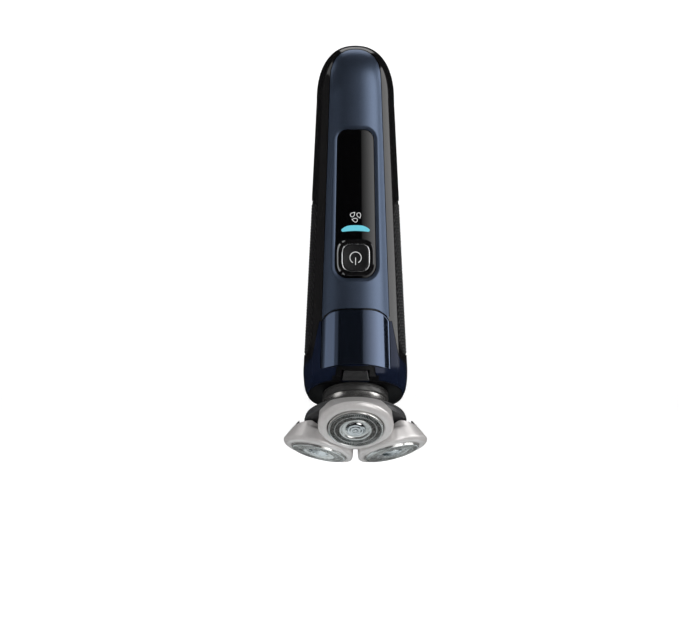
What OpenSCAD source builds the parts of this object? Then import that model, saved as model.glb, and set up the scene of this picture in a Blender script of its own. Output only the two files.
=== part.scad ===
// Rotary electric shaver, shown with the head down and the handle up.
// The origin is the centre of the neck ring. +Z runs up the handle, the front faces -Y.

/* [Handle] */
// Height of the handle above the neck ring
handle_h = 139.8; // [136:0.1:144]
// Half-width at the widest place, close to the neck
wide_half = 21; // [20.5:0.1:21.5]
// Half-width where the rounded end starts
end_half = 15.6; // [15:0.1:16.2]
// Half-depth at the widest place
wide_depth = 18; // [17.6:0.1:18.4]
// Half-depth where the rounded end starts
end_depth = 13.5; // [13:0.1:14]
// Height of the widest place
wide_z = 8.5; // [8:0.1:9]
// Height where the rounded end starts
dome_z = 117; // [115:0.5:119]
// How far the section's centre lies behind the neck ring at the bottom
lean = 3; // [2.6:0.1:3.2]
// Wall of the two handle shells
wall = 2.6; // [2.4:0.1:2.8]
// Thickness of panels and grips set into the shells
skin = 1.2; // [1:0.05:1.25]

/* [Controls] */
// Height of the power button's centre
button_z = 54; // [53:0.1:55]
// Side of the power button with its ring
button_w = 11.3; // [11:0.1:11.6]

/* [Head] */
// Tilt of the head towards the front, in degrees
head_tilt = 24; // [23:0.5:25]
// Radius from the head's axis to each cutter's centre
petal_r = 17; // [16.9:0.05:17.1]
// Height of the cutters' centres below the neck ring, along the head's axis
petal_h = 22.4; // [22.2:0.1:22.6]
// Outward tilt of each cutter, in degrees
petal_tilt = 16; // [15.5:0.1:16.5]
// Radius of a petal's face
face_r = 15; // [14.8:0.1:15.2]
// Radius of a cutter guard
guard_r = 11; // [10.8:0.1:11.05]
// Half of the gap between two petals
petal_gap = 0.8; // [0.8:0.05:0.9]

/* [Drive] */
// Tooth module of the gears
gear_m = 0.68; // [0.67:0.01:0.69]
// Radius of the motor
motor_r = 7; // [6:0.1:7]
// Radius of the drive shaft
shaft_r = 1; // [0.9:0.05:1]

/* [Hidden] */
$fn = 48;
section_power = 2.4;
section_points = 44;
dome_power = 2.3;
split_y = 1;
fit_gap = 0.15;
far = 60;
inner_skin = skin + fit_gap;
panel_foot_z = 29;
arch_power = 4.5;
arch_steps = 10;
cover_gap = 0.4;
cover_foot_z = 11.6;
cover_foot_drop = 2.4;
cover_foot_half = 14;
panel_arch_z = 33.8;
panel_foot_half = 13.5;
panel_end_half = 10.2;
panel_top_z = 137.6;
panel_dome_z = 125;
window_top_z = 105;
window_foot_z = 46;
window_top_half = 7.2;
window_top_r = 4;
window_foot_half = 8.1;
window_foot_r = 4.8;
light_arch_r = 15;
light_half = 5.7;
light_t = 1.1;
light_top_z = 65.7;
housing_top_z = 28.6;
housing_z = 8.2;
housing_half = 22.5;
button_front_y = -15.2;
button_back_y = -14.15;
ring_front_y = -15.3;
ring_w = 0.67;
button_r = 3.4;
bezel_front_y = -14.95;
bezel_back_y = -13.1;
bezel_w = 15;
bezel_h = 14.7;
bezel_r = 4.3;
pocket_half = 8.8;
pocket_foot_z = 42.7;
pocket_top_z = 94.9;
pocket_depth = 4.6;
trimmer_axis_z = 92;
trimmer_axis_y = back_y(trimmer_axis_z) - pocket_depth + 1.9;
battery_r = 7;
battery_y = 2.6;
board_y = -8.4;
screw_x = 7;
screw_z = 32;
release_z = 7.1;
tab_low_z = 39.4;
tab_high_z = 90.1;
spring_r = 1.3;
spring_wire_r = 0.2;
spring_seat_y = -8.4;
socket_y = 4.5;
charge_pin_x = 2;
case_r = 20.5;
case_top = 13.6;
sun_teeth = 24;
planet_teeth = 16;
gear_floor = 10.5;
gear_z = 10.8;
gear_t = 2;
sun_r = gear_m * sun_teeth / 2;
planet_r = gear_m * planet_teeth / 2;
gear_distance = sun_r + planet_r;
spindle_foot_z = 12.6;
frame_z = 13.9;
frame_t = 1.3;
arm_half = 8.5;
arm_reach = 19.4;
pivot_r = 14.2;
pivot_z = 15;
hinge_y = -23.6;
hinge_z = 13.9;
bore_r = guard_r + 0.3;
leg_angles = [0, 120, 240];

// ---- The handle's form -------------------------------------------------------------

function bulge(v, n) = sign(v) * pow(abs(v), 2 / n);

function along(z) = (z - wide_z) / (dome_z - wide_z);

// How much of its full width the rounded end keeps at a height
function dome_share(z, inset) =
    pow(1 - pow((z - dome_z) / (handle_h - dome_z - inset), dome_power), 1 / dome_power);

function half_w(z, inset) =
    z <= dome_z ? wide_half + (end_half - wide_half) * along(z) - inset
                : (end_half - inset) * dome_share(z, inset);

function half_d(z, inset) =
    z <= dome_z ? wide_depth + (end_depth - wide_depth) * along(z) - inset
                : (end_depth - inset) * dome_share(z, inset);

function centre_y(z) = lean * (1 - z / handle_h);

function back_y(z) = centre_y(z) + half_d(z, 0);

function section(w, d, yc) = [
    for (i = [0:section_points - 1])
        let (a = 360 * i / section_points)
        [w * bulge(cos(a), section_power), yc + d * bulge(sin(a), section_power)]
];

function level_ring(z, inset) = [for (p = section(half_w(z, inset), half_d(z, inset), centre_y(z))) [p.x, p.y, z]];

// A ring of the neck end, turned about the X axis with the head's tilt
function neck_ring(w, d, yc, z, turn) = [
    for (p = section(w, d, yc))
        [p.x, p.y * cos(turn) + z * sin(turn), z * cos(turn) - p.y * sin(turn)]
];

function handle_rings(inset) = concat(
    [neck_ring(19 - inset, 15.4 - inset, 2.2, -0.5, head_tilt),
     neck_ring(20.5 - inset, 17.2 - inset, lean, 2.5, head_tilt / 2)],
    [for (z = [wide_z, 17, 34, 51, 68, 85, 101, dome_z]) level_ring(z, inset)],
    [for (f = [0.2, 0.38, 0.54, 0.68, 0.79, 0.88, 0.95, 0.985])
        level_ring(dome_z + (handle_h - dome_z - inset) * f, inset)]
);

// One slab between two rings of points
module slab(low, high) {
    n = len(low);
    sides = [for (i = [0:n - 1]) [i, n + i, n + (i + 1) % n, (i + 1) % n]];
    hull() polyhedron(concat(low, high), concat([[for (i = [0:n - 1]) i]], sides, [[for (i = [1:n]) 2 * n - i]]));
}

module handle_body(inset) {
    rings = handle_rings(inset);
    for (i = [0:len(rings) - 2]) slab(rings[i], rings[i + 1]);
}

// The layer of the handle between two depths below its surface
module layer(outer, inner) {
    difference() {
        handle_body(outer);
        handle_body(inner);
    }
}

// Extrudes an outline drawn in X and Z towards the front, or towards the back
module to_front() { rotate([90, 0, 0]) linear_extrude(far) children(); }

module to_back() { translate([0, far, 0]) rotate([90, 0, 0]) linear_extrude(far - 0.5) children(); }

// Extrudes an outline drawn in Y and Z outwards along +X
module to_side() { rotate([90, 0, 90]) linear_extrude(far) children(); }

// Places its children in the head's frame: +Z out along the head's axis, +Y to the front
module head() { rotate([180 - head_tilt, 0, 0]) children(); }

// Places its children on one cutter: the origin at the face's centre, +Z outwards
module on_petal(i) {
    head() rotate([0, 0, leg_angles[i]]) translate([0, petal_r, petal_h]) rotate([-petal_tilt, 0, 0])
        children();
}

module rounded(w, h, r) {
    hull() for (x = [-1, 1], y = [-1, 1]) translate([x * (w / 2 - r), y * (h / 2 - r)]) circle(r, $fn = 24);
}

// ---- Outlines on the handle ----------------------------------------------------------

function panel_half(z) =
    z <= panel_dome_z
        ? panel_foot_half
            + (panel_end_half - panel_foot_half) * (z - panel_foot_z) / (panel_dome_z - panel_foot_z)
        : panel_end_half
            * pow(1 - pow((z - panel_dome_z) / (panel_top_z - panel_dome_z), dome_power), 1 / dome_power);

// The arched joint between the front panel and the neck cover
function arch(x) =
    panel_arch_z + (panel_foot_z - panel_arch_z) * pow(abs(x) / panel_foot_half, arch_power);

module panel_outline(grow) {
    foot = [for (k = [-arch_steps:arch_steps]) let (x = k * panel_foot_half / arch_steps)
        [x + sign(k) * grow, arch(x) - grow]];
    side = [for (z = [45, 65, 85, 105, 118, 125]) [panel_half(z) + grow, z]];
    end = [for (a = [15:15:165])
        [(panel_end_half + grow) * bulge(cos(a), dome_power),
         panel_dome_z + (panel_top_z - panel_dome_z + grow) * bulge(sin(a), dome_power)]];
    other = [for (i = [len(side) - 1:-1:0]) [-side[i].x, side[i].y]];
    polygon(concat(foot, side, end, other));
}

module cover_outline(grow) {
    top = [for (k = [arch_steps:-1:-arch_steps]) let (x = k * panel_foot_half / arch_steps)
        [x + sign(k) * grow, arch(x) - cover_gap + grow]];
    foot = [for (k = [-5:5])
        [k * cover_foot_half / 5 + sign(k) * grow, cover_foot_z - cover_foot_drop * pow(k / 5, 2) - grow]];
    polygon(concat(top, foot));
}

module window_outline(grow) {
    hull() {
        for (x = [-1, 1]) {
            translate([x * (window_top_half - window_top_r), window_top_z - window_top_r])
                circle(window_top_r + grow, $fn = 32);
            translate([x * (window_foot_half - window_foot_r), window_foot_z + window_foot_r])
                circle(window_foot_r + grow, $fn = 32);
        }
    }
}

module light_outline(grow) {
    intersection() {
        translate([0, light_top_z - light_arch_r]) difference() {
            circle(light_arch_r + light_t + grow, $fn = 96);
            circle(light_arch_r - light_t - grow, $fn = 96);
        }
        translate([-light_half - grow, light_top_z - 5]) square([2 * (light_half + grow), 10]);
    }
}

module housing_outline(grow) {
    right = [[14.4 + grow, housing_top_z + grow], [17.3 + grow, 14.4], [housing_half, housing_z + grow],
             [housing_half, -20]];
    polygon(concat(right, [for (i = [len(right) - 1:-1:0]) [-right[i].x, right[i].y]]));
}

module grip_outline(grow) {
    hull() {
        translate([-3, 20]) circle(5 + grow);
        translate([10, 20]) circle(5 + grow);
        translate([-4, 73]) circle(4 + grow);
        translate([8, 73]) circle(4 + grow);
    }
}

module rear_grip_outline(grow) {
    translate([0, 25]) rounded(22 + 2 * grow, 25 + 2 * grow, 5 + grow);
}

module slider_outline(z_low, z_high, grow) {
    translate([0, (z_low + z_high) / 2]) rounded(9 + 2 * grow, z_high - z_low + 2 * grow, 3);
}

// The recess that the trimmer folds into; its floor follows the handle's back
module trimmer_pocket(grow, depth) {
    y_low = back_y(pocket_foot_z) - depth;
    y_high = back_y(pocket_top_z) - depth;
    translate([-pocket_half - grow, 0, 0]) rotate([90, 0, 90]) linear_extrude(2 * (pocket_half + grow))
        polygon([[y_low, pocket_foot_z - grow], [y_high, pocket_top_z + grow], [30, pocket_top_z + grow],
                 [30, pocket_foot_z - grow]]);
}

// The solid that holds the head's axis side of the neck, from one height on
module beyond_neck(z) { head() translate([-far, -far, z]) cube([2 * far, 2 * far, far]); }

// ---- Handle: casings and covers --------------------------------------------------------

module front_shell() {
    color([0.05, 0.05, 0.06]) difference() {
        intersection() {
            layer(0, wall);
            translate([-far, split_y - fit_gap / 2 - far, 0]) cube([2 * far, far, 200]);
        }
        to_front() housing_outline(fit_gap);
        translate([-far, -far, -far]) cube([2 * far, 2 * far, far + housing_z + fit_gap]);
        intersection() {
            layer(-1, inner_skin + fit_gap);
            to_front() {
                panel_outline(fit_gap);
                cover_outline(fit_gap);
            }
        }
        for (s = [0, 1]) mirror([s, 0, 0]) intersection() {
            layer(-1, inner_skin);
            to_side() grip_outline(fit_gap);
        }
        translate([0, -far / 2, button_z]) rotate([90, 0, 0]) cylinder(far, r = 2.7, center = true);
    }
}

module rear_shell() {
    color([0.06, 0.06, 0.07]) difference() {
        intersection() {
            union() {
                layer(0, wall);
                intersection() {
                    handle_body(0);
                    trimmer_pocket(1.3, pocket_depth + 1.2);
                }
            }
            translate([-far, split_y + fit_gap / 2, 0]) cube([2 * far, far, 200]);
        }
        translate([-far, -far, -far]) cube([2 * far, 2 * far, far + housing_z + fit_gap]);
        trimmer_pocket(0, pocket_depth);
        for (s = [0, 1]) mirror([s, 0, 0]) intersection() {
            layer(-1, inner_skin);
            to_side() grip_outline(fit_gap);
        }
        intersection() {
            layer(-1, inner_skin);
            to_back() rear_grip_outline(fit_gap);
        }
        intersection() {
            layer(-2, 1);
            to_back() slider_outline(98, 110.6, 0.25);
        }
        translate([0, trimmer_axis_y, trimmer_axis_z]) rotate([0, 90, 0])
            cylinder(19.8, r = 0.72, center = true);
        for (x = [-screw_x, screw_x]) translate([x, 0, screw_z]) rotate([-90, 0, 0]) {
            cylinder(far, r = 0.85);
            translate([0, 0, back_y(screw_z) - 2.9]) cylinder(far, r = 1.8);
        }
        socket_block(0.1, 120, 30);
    }
}

module neck_housing() {
    color([0.05, 0.07, 0.13]) difference() {
        union() {
            intersection() {
                union() {
                    layer(0, wall);
                    intersection() {
                        handle_body(0);
                        beyond_neck(-1.5);
                    }
                }
                union() {
                    to_front() housing_outline(0);
                    translate([-far, -far, -far]) cube([2 * far, 2 * far, far + housing_z]);
                }
            }
            head() difference() {
                translate([0, 0, 0.4]) cylinder(3.8, r = 10.4);
                cylinder(9, r = 8);
            }
            translate([-2.2, spring_seat_y, 4]) cube([4.4, 1, 5]);
        }
        head() translate([0, 0, -9]) cylinder(18, r = 2.6);
        facing(-11.5, spring_seat_y) translate([0, release_z]) circle(spring_r + spring_wire_r + 0.1, $fn = 48);
        intersection() {
            layer(-1, inner_skin);
            to_front() cover_outline(fit_gap);
        }
        intersection() {
            layer(-1, 0.8);
            to_front() polygon([[-7.6, 11], [7.6, 11], [9, 2], [-9, 2]]);
        }
        translate([-5.6, -20, 3]) cube([11.2, 8.6, 6.3]);
    }
}

module front_panel() {
    color([0.30, 0.38, 0.50]) difference() {
        intersection() {
            layer(0, skin);
            to_front() panel_outline(0);
        }
        to_front() window_outline(fit_gap);
    }
}

module neck_cover() {
    color([0.10, 0.20, 0.38]) intersection() {
        layer(0, skin);
        to_front() cover_outline(0);
    }
}

module side_grip() {
    color([0.07, 0.07, 0.07]) intersection() {
        layer(0, skin);
        to_side() grip_outline(0);
    }
}

module grip_right() { side_grip(); }

module grip_left() { mirror([1, 0, 0]) side_grip(); }

module rear_grip() {
    color([0.07, 0.07, 0.07]) intersection() {
        layer(0, skin);
        to_back() rear_grip_outline(0);
    }
}

module display_window() {
    color([0.02, 0.02, 0.03]) difference() {
        intersection() {
            layer(0.5, inner_skin);
            to_front() window_outline(0);
        }
        to_front() light_outline(0.1);
        to_front() translate([0, button_z]) rounded(bezel_w + 0.2, bezel_h + 0.2, bezel_r + 0.1);
    }
}

module light_bar() {
    color([0.42, 0.79, 0.85]) intersection() {
        layer(0.35, inner_skin);
        to_front() light_outline(0);
    }
}

// ---- Handle: power button ----------------------------------------------------------------

// A prism with its outline facing the front, between two places along Y
module facing(y_front, y_back) {
    translate([0, y_back, 0]) rotate([90, 0, 0]) linear_extrude(y_back - y_front) children();
}

module button_bezel() {
    color([0.04, 0.04, 0.05]) translate([0, 0, button_z]) facing(bezel_front_y, bezel_back_y) difference() {
        rounded(bezel_w, bezel_h, bezel_r);
        rounded(button_w + 0.4, button_w + 0.4, button_r + 0.2);
    }
}

module power_button() {
    color([0.03, 0.03, 0.04]) translate([0, 0, button_z]) {
        facing(button_front_y, button_back_y)
            rounded(button_w - 2 * ring_w - 0.06, button_w - 2 * ring_w - 0.06, button_r - 0.6);
        facing(button_back_y - 0.05, -11.4) circle(2);
    }
}

module button_ring() {
    color([0.8, 0.82, 0.84]) translate([0, 0, button_z]) facing(ring_front_y, button_back_y) difference() {
        rounded(button_w, button_w, button_r);
        rounded(button_w - 2 * ring_w, button_w - 2 * ring_w, button_r - 0.57);
    }
}

module button_seal() {
    color([0.12, 0.12, 0.12]) translate([0, 0, button_z]) facing(bezel_back_y - 0.5, bezel_back_y) difference() {
        circle(5.6);
        circle(2.1);
    }
}

// ---- Handle: electronics, battery and motor --------------------------------------------------

module power_switch() {
    color([0.75, 0.75, 0.72]) translate([0, 0, button_z]) {
        facing(-9.9, board_y) square(5.6, center = true);
        facing(-10.7, -9.9) circle(1.5);
    }
}

module main_board() {
    color([0.10, 0.35, 0.18]) {
        facing(board_y, board_y + 1.2) translate([-9, 36]) square([18, 56]);
        for (z = [42, 72, 80]) translate([3, 0, z])
            facing(board_y - 0.9, board_y) square([5, 4.4], center = true);
        for (z = [64, 68, 76, 86]) translate([-3, 0, z])
            facing(board_y - 0.7, board_y) square([2.4, 1.6], center = true);
    }
}

module chassis() {
    color([0.82, 0.82, 0.80]) difference() {
        union() {
            facing(-6.4, -5.2) translate([-10, 30]) square([20, 66]);
            for (z = [46, 82]) translate([-9, -5.3, z]) cube([18, 10.5, 2]);
            for (x = [-screw_x, screw_x]) {
                translate([x - 0.8, -5.3, screw_z - 1]) cube([1.6, 20.3, 2]);
                translate([x, 9, screw_z]) rotate([-90, 0, 0]) cylinder(6, r = 1.9);
            }
            head() translate([0, 0, -20]) cylinder(3, r = motor_r + 1.5);
            translate([-4, -6.3, 19.5]) cube([8, 7.5, 11.5]);
        }
        head() translate([0, 0, -27]) cylinder(26, r = motor_r + 0.06);
        translate([0, battery_y, 39]) cylinder(60, r = battery_r + 0.1);
        for (z = [tab_low_z, tab_high_z]) translate([-2.1, battery_y - 9.7, z - 0.1]) cube([4.2, 12.2, 0.7]);
        for (x = [-screw_x, screw_x]) translate([x, 8, screw_z]) rotate([-90, 0, 0]) cylinder(12, r = 0.79);
    }
}

module battery_cell() {
    color([0.20, 0.45, 0.30]) translate([0, battery_y, 40]) {
        cylinder(49, r = battery_r);
        translate([0, 0, 49]) cylinder(1, r = 2.6);
    }
}

module battery_tabs() {
    color([0.8, 0.78, 0.7]) {
        translate([-2, battery_y - 9.6, tab_low_z]) cube([4, 12, 0.5]);
        translate([-2, battery_y - 9.6, tab_high_z]) cube([4, 12, 0.5]);
    }
}

module motor_can() {
    color([0.62, 0.63, 0.65]) head() difference() {
        union() {
            translate([0, 0, -25]) cylinder(17.5, r = motor_r);
            translate([0, 0, -7.6]) cylinder(1.1, r = 3);
        }
        translate([0, 0, -17]) cylinder(20, r = shaft_r + 0.05);
    }
}

module drive_shaft() {
    color([0.78, 0.79, 0.80]) head() {
        translate([0, 0, -16]) cylinder(28.9, r = shaft_r);
        translate([0, 0, 2]) cylinder(4, r = 1.9);
    }
}

module neck_seal() {
    color([0.10, 0.10, 0.11]) head() translate([0, 0, -1.4]) difference() {
        cylinder(1.8, r = 2.54);
        translate([0, 0, -1]) cylinder(4, r = shaft_r + 0.06);
    }
}

module body_screws() {
    color([0.7, 0.7, 0.72]) for (x = [-screw_x, screw_x])
        translate([x, 0, screw_z]) rotate([-90, 0, 0]) difference() {
            union() {
                translate([0, 0, 10]) cylinder(back_y(screw_z) - 12.8, r = 0.75);
                translate([0, 0, back_y(screw_z) - 2.88]) cylinder(0.45, r = 1.7);
            }
            translate([0, 0, back_y(screw_z) - 2.68]) for (a = [0, 90]) rotate([0, 0, a])
                translate([-1.1, -0.2, 0]) cube([2.2, 0.4, 1]);
        }
}

// ---- Handle: charging socket -------------------------------------------------------------------

module socket_block(grow, z_low, height) {
    translate([0, socket_y, z_low]) linear_extrude(height) rounded(10 + 2 * grow, 5.6 + 2 * grow, 2.6);
}

module socket_recess() { translate([0, socket_y, 134]) linear_extrude(20) rounded(8, 3.6, 1.7); }

module charging_socket() {
    color([0.08, 0.08, 0.09]) difference() {
        socket_block(0, 131, 6);
        socket_recess();
        for (x = [-charge_pin_x, charge_pin_x]) translate([x, socket_y, 130]) cylinder(5, r = 1.02);
    }
}

module charge_pins() {
    color([0.85, 0.72, 0.35]) for (x = [-charge_pin_x, charge_pin_x]) translate([x, socket_y, 0]) {
        translate([0, 0, 128]) cylinder(6, r = 1);
        translate([0, 0, 134]) cylinder(4, r = 0.8);
    }
}

// ---- Handle: pop-up trimmer ----------------------------------------------------------------------

module trimmer_housing() {
    color([0.09, 0.09, 0.10]) difference() {
        union() {
            intersection() {
                handle_body(0);
                trimmer_pocket(-0.4, pocket_depth - 0.3);
                translate([-far, -far, 46]) cube([2 * far, 2 * far, trimmer_axis_z + 0.6 - 46]);
            }
            translate([0, trimmer_axis_y, trimmer_axis_z]) rotate([0, 90, 0])
                cylinder(2 * pocket_half - 0.8, r = 1.6, center = true);
        }
        translate([-7.6, 14.8, 45]) cube([15.2, 1.5, 6.6]);
        translate([0, trimmer_axis_y, trimmer_axis_z]) rotate([0, 90, 0]) cylinder(30, r = 0.76, center = true);
    }
}

module toothed_plate(half, y_low, z_low, z_high, thick, tooth_gap) {
    difference() {
        translate([-half, y_low, z_low]) cube([2 * half, thick, z_high - z_low]);
        for (x = [-half + 0.7:1.2:half - 0.7])
            translate([x, y_low - 1, z_low - 1]) cube([tooth_gap, thick + 2, 3.2]);
    }
}

module trimmer_comb() { color([0.72, 0.73, 0.75]) toothed_plate(7.4, 15.65, 43.3, 51.4, 0.55, 0.55); }

module trimmer_blade() { color([0.60, 0.61, 0.64]) toothed_plate(6.2, 15, 43.6, 51.4, 0.55, 0.6); }

module trimmer_hinge_pin() {
    color([0.7, 0.7, 0.72]) translate([0, trimmer_axis_y, trimmer_axis_z]) rotate([0, 90, 0])
        cylinder(19.6, r = 0.7, center = true);
}

module trimmer_slider() {
    color([0.14, 0.14, 0.15]) intersection() {
        layer(-0.7, 0.8);
        to_back() slider_outline(98.2, 107.2, 0);
    }
}

// ---- Handle: release button and neck -----------------------------------------------------------------

module release_button() {
    color([0.22, 0.22, 0.23]) {
        facing(-15.4, -12.6) polygon([[-4.7, 9.1], [4.7, 9.1], [5.4, 5.1], [-5.4, 5.1]]);
        facing(-12.7, -11.9) translate([0, release_z]) circle(spring_r - spring_wire_r - 0.15, $fn = 32);
    }
}

// A coil spring along -Y, as a closed tube swept round its helix
module release_spring() {
    turns = 4;
    steps = 10;
    sides = 6;
    count = turns * steps;
    ring = function (k) let (a = 360 * k / steps, y = -12.3 + (spring_seat_y + 12) * k / count)
        [for (j = [0:sides - 1]) let (b = 360 * j / sides, r = spring_r + spring_wire_r * cos(b))
            [r * cos(a), y + spring_wire_r * sin(b), release_z + r * sin(a)]];
    points = [for (k = [0:count]) each ring(k)];
    skin_faces = [for (k = [0:count - 1], j = [0:sides - 1])
        [k * sides + j, (k + 1) * sides + j, (k + 1) * sides + (j + 1) % sides, k * sides + (j + 1) % sides]];
    caps = [[for (j = [0:sides - 1]) j], [for (j = [sides - 1:-1:0]) count * sides + j]];
    color([0.75, 0.76, 0.78]) polyhedron(points, concat(skin_faces, caps));
}

module neck_collar() {
    color([0.20, 0.20, 0.21]) head() rotate_extrude()
        polygon([[10.5, 0.6], [13, 0.6], [13.2, 0.9], [13.2, 3.9], [13, 4.3], [10.5, 4.3]]);
}

module neck_dome() {
    color([0.68, 0.67, 0.65]) head() rotate_extrude()
        polygon([[2.2, 6.8], [10.6, 6.8], [10.6, 4.4], [13, 4.4], [13.6, 5.4], [14.4, 7.4], [14.9, 8.8], [2.2, 8.8]]);
}

// ---- Head: gear case and gears ---------------------------------------------------------------------------

module gear_case() {
    color([0.24, 0.24, 0.25]) head() difference() {
        union() {
            rotate_extrude() polygon([[2.2, 8.85], [15.2, 8.85], [18.6, 9.7], [20.1, 10.8], [case_r, 12],
                [case_r, case_top], [case_r - 0.6, case_top], [case_r - 0.6, gear_floor], [2.2, gear_floor]]);
            for (a = leg_angles) rotate([0, 0, a]) translate([0, gear_distance, gear_floor - 0.2])
                cylinder(0.85, r = 1);
            for (x = [-4.8, 3]) hull() {
                translate([x, hinge_y, hinge_z]) rotate([0, 90, 0]) cylinder(1.8, r = 1.6, $fn = 32);
                translate([x, -20.4, 11.6]) cube([1.8, 0.5, 2]);
            }
        }
        translate([-9, hinge_y, hinge_z]) rotate([0, 90, 0]) cylinder(18, r = 0.82);
    }
}

module gear_cover() {
    color([0.30, 0.30, 0.31]) head() difference() {
        translate([0, 0, 13]) cylinder(0.55, r = case_r - 0.65);
        for (i = [0:2]) rotate([0, 0, leg_angles[i]]) translate([0, 14.35, 12]) cylinder(3, r = 2.4);
    }
}

// Involute tooth flank points of one gear, with a little backlash
function flank(r_base, r, half_tooth) =
    let (a = acos(min(1, r_base / r)), b = half_tooth - (tan(a) * 180 / PI - a)) [r, b];

module gear_outline(teeth, first) {
    r_pitch = gear_m * teeth / 2;
    r_base = r_pitch * cos(20);
    r_tip = r_pitch + 0.85 * gear_m;
    r_root = r_pitch - 1.15 * gear_m;
    at_pitch = 90 / teeth - 1.0 + tan(20) * 180 / PI - 20;
    radii = [for (k = [0:3]) max(r_base, r_root) + (r_tip - max(r_base, r_root)) * k / 3];
    half = concat([[r_root, flank(r_base, radii[0], at_pitch)[1] + 1]], [for (r = radii) flank(r_base, r, at_pitch)]);
    polygon([for (t = [0:teeth - 1]) let (mid = first + 360 * t / teeth)
        each concat([for (p = half) p[0] * [cos(mid - p[1]), sin(mid - p[1])]],
                    [for (i = [len(half) - 1:-1:0]) half[i][0] * [cos(mid + half[i][1]), sin(mid + half[i][1])]])]);
}

module sun_gear() {
    color([0.88, 0.87, 0.82]) head() translate([0, 0, gear_z]) difference() {
        linear_extrude(gear_t) gear_outline(sun_teeth, 90);
        translate([0, 0, -1]) cylinder(5, r = shaft_r + 0.02);
    }
}

module planet_gear(i) {
    color([0.88, 0.87, 0.82]) head() rotate([0, 0, leg_angles[i]]) translate([0, gear_distance, gear_z]) difference() {
        linear_extrude(gear_t) gear_outline(planet_teeth, -90 + 180 / planet_teeth);
        translate([0, 0, -1]) cylinder(1.5, r = 1.05);
        translate([0, 0, 0.65]) cylinder(3, r = 1.95);
    }
}

module planet_gear_1() { planet_gear(0); }

module planet_gear_2() { planet_gear(1); }

module planet_gear_3() { planet_gear(2); }

module drive_spindle(i) {
    foot = -(petal_h - spindle_foot_z) / cos(petal_tilt);
    color([0.85, 0.84, 0.80]) on_petal(i) {
        translate([0, 0, foot]) sphere(1.2);
        translate([0, 0, foot]) cylinder(-5 - foot, r = 1);
        translate([0, 0, -6.3]) cylinder(0.5, r = 2);
        translate([0, 0, -5.9]) cylinder(2.5, r = 1.9, $fn = 6);
    }
}

module drive_spindle_1() { drive_spindle(0); }

module drive_spindle_2() { drive_spindle(1); }

module drive_spindle_3() { drive_spindle(2); }

// ---- Head: frame and petals ----------------------------------------------------------------------------------

module frame_outline(grow) {
    circle(8.5 + grow);
    for (a = leg_angles) rotate([0, 0, a])
        translate([-arm_half - grow, 0]) square([2 * (arm_half + grow), arm_reach + grow]);
    translate([-2.6 - grow, hinge_y]) square([2 * (2.6 + grow), -hinge_y]);
}

module head_frame() {
    color([0.17, 0.17, 0.18]) head() difference() {
        union() {
            translate([0, 0, frame_z]) linear_extrude(frame_t) frame_outline(0);
            for (a = leg_angles, s = [-1, 1]) rotate([0, 0, a])
                translate([s * (arm_half - 1) - 1, pivot_r - 1.6, frame_z]) cube([2, 3.2, 2.2]);
            translate([-2.6, hinge_y, hinge_z]) rotate([0, 90, 0]) cylinder(5.2, r = 1.6);
        }
        for (a = leg_angles) rotate([0, 0, a]) {
            translate([0, 14.75, 9]) cylinder(12, r = 3.4);
            translate([0, pivot_r, pivot_z]) rotate([0, 90, 0]) cylinder(3 * arm_half, r = 0.86, center = true);
            translate([-arm_half + 2, pivot_r - 1.7, frame_z + frame_t]) cube([2 * arm_half - 4, 3.4, 3]);
        }
        translate([-9, hinge_y, hinge_z]) rotate([0, 90, 0]) cylinder(18, r = 0.86);
    }
}

module head_hinge_pin() {
    color([0.7, 0.7, 0.72]) head() translate([-4.7, hinge_y, hinge_z]) rotate([0, 90, 0]) cylinder(9.4, r = 0.8);
}

// A third of the head, less a gap along both of its sides
module wedge(gap) {
    tip = gap / sin(60);
    linear_extrude(far) polygon([[0, tip], [far, tip + far * tan(30)], [far, far], [-far, far],
                                 [-far, tip + far * tan(30)]]);
}

// A petal's full form in the head's frame, for the petal at the front
module petal_form(inset, low_z) {
    hull() {
        translate([0, petal_r, petal_h]) rotate([-petal_tilt, 0, 0]) {
            translate([0, 0, -0.5 - inset]) cylinder(0.5, r = face_r - 0.6 - inset, $fn = 40);
            translate([0, 0, -2.2 - inset]) cylinder(0.5, r = face_r - inset * 0.9, $fn = 40);
        }
        translate([0, 13.2, 14.4]) cylinder(0.2, r = 14.4 - inset, $fn = 40);
        translate([0, 8.4, low_z]) cylinder(0.2, r = 15.2 - inset, $fn = 40);
    }
}

module petal(i) {
    color([0.66, 0.63, 0.61]) head() rotate([0, 0, leg_angles[i]]) {
        difference() {
            intersection() {
                petal_form(0, 11.5);
                wedge(petal_gap);
            }
            difference() {
                intersection() {
                    petal_form(1.3, 11.1);
                    wedge(petal_gap + 1.2);
                }
                translate([0, petal_r, petal_h]) rotate([-petal_tilt, 0, 0]) translate([0, 0, -4.8])
                    cylinder(9, r = bore_r + 1.1);
            }
            translate([0, petal_r, petal_h]) rotate([-petal_tilt, 0, 0]) translate([0, 0, -9])
                cylinder(12, r = bore_r);
            translate([0, 0, 5]) cylinder(9.1, r = case_r + 0.6);
            rotate([0, 0, -leg_angles[i]]) translate([0, 0, 5]) linear_extrude(11.6) frame_outline(0.7);
        }
        for (s = [-1, 1]) translate([s * 10.5, pivot_r, pivot_z]) rotate([0, 90, 0])
            cylinder(6.4, r = 0.8, center = true);
    }
}

module petal_1() { petal(0); }

module petal_2() { petal(1); }

module petal_3() { petal(2); }

// ---- Head: cutters ---------------------------------------------------------------------------------------------

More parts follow.
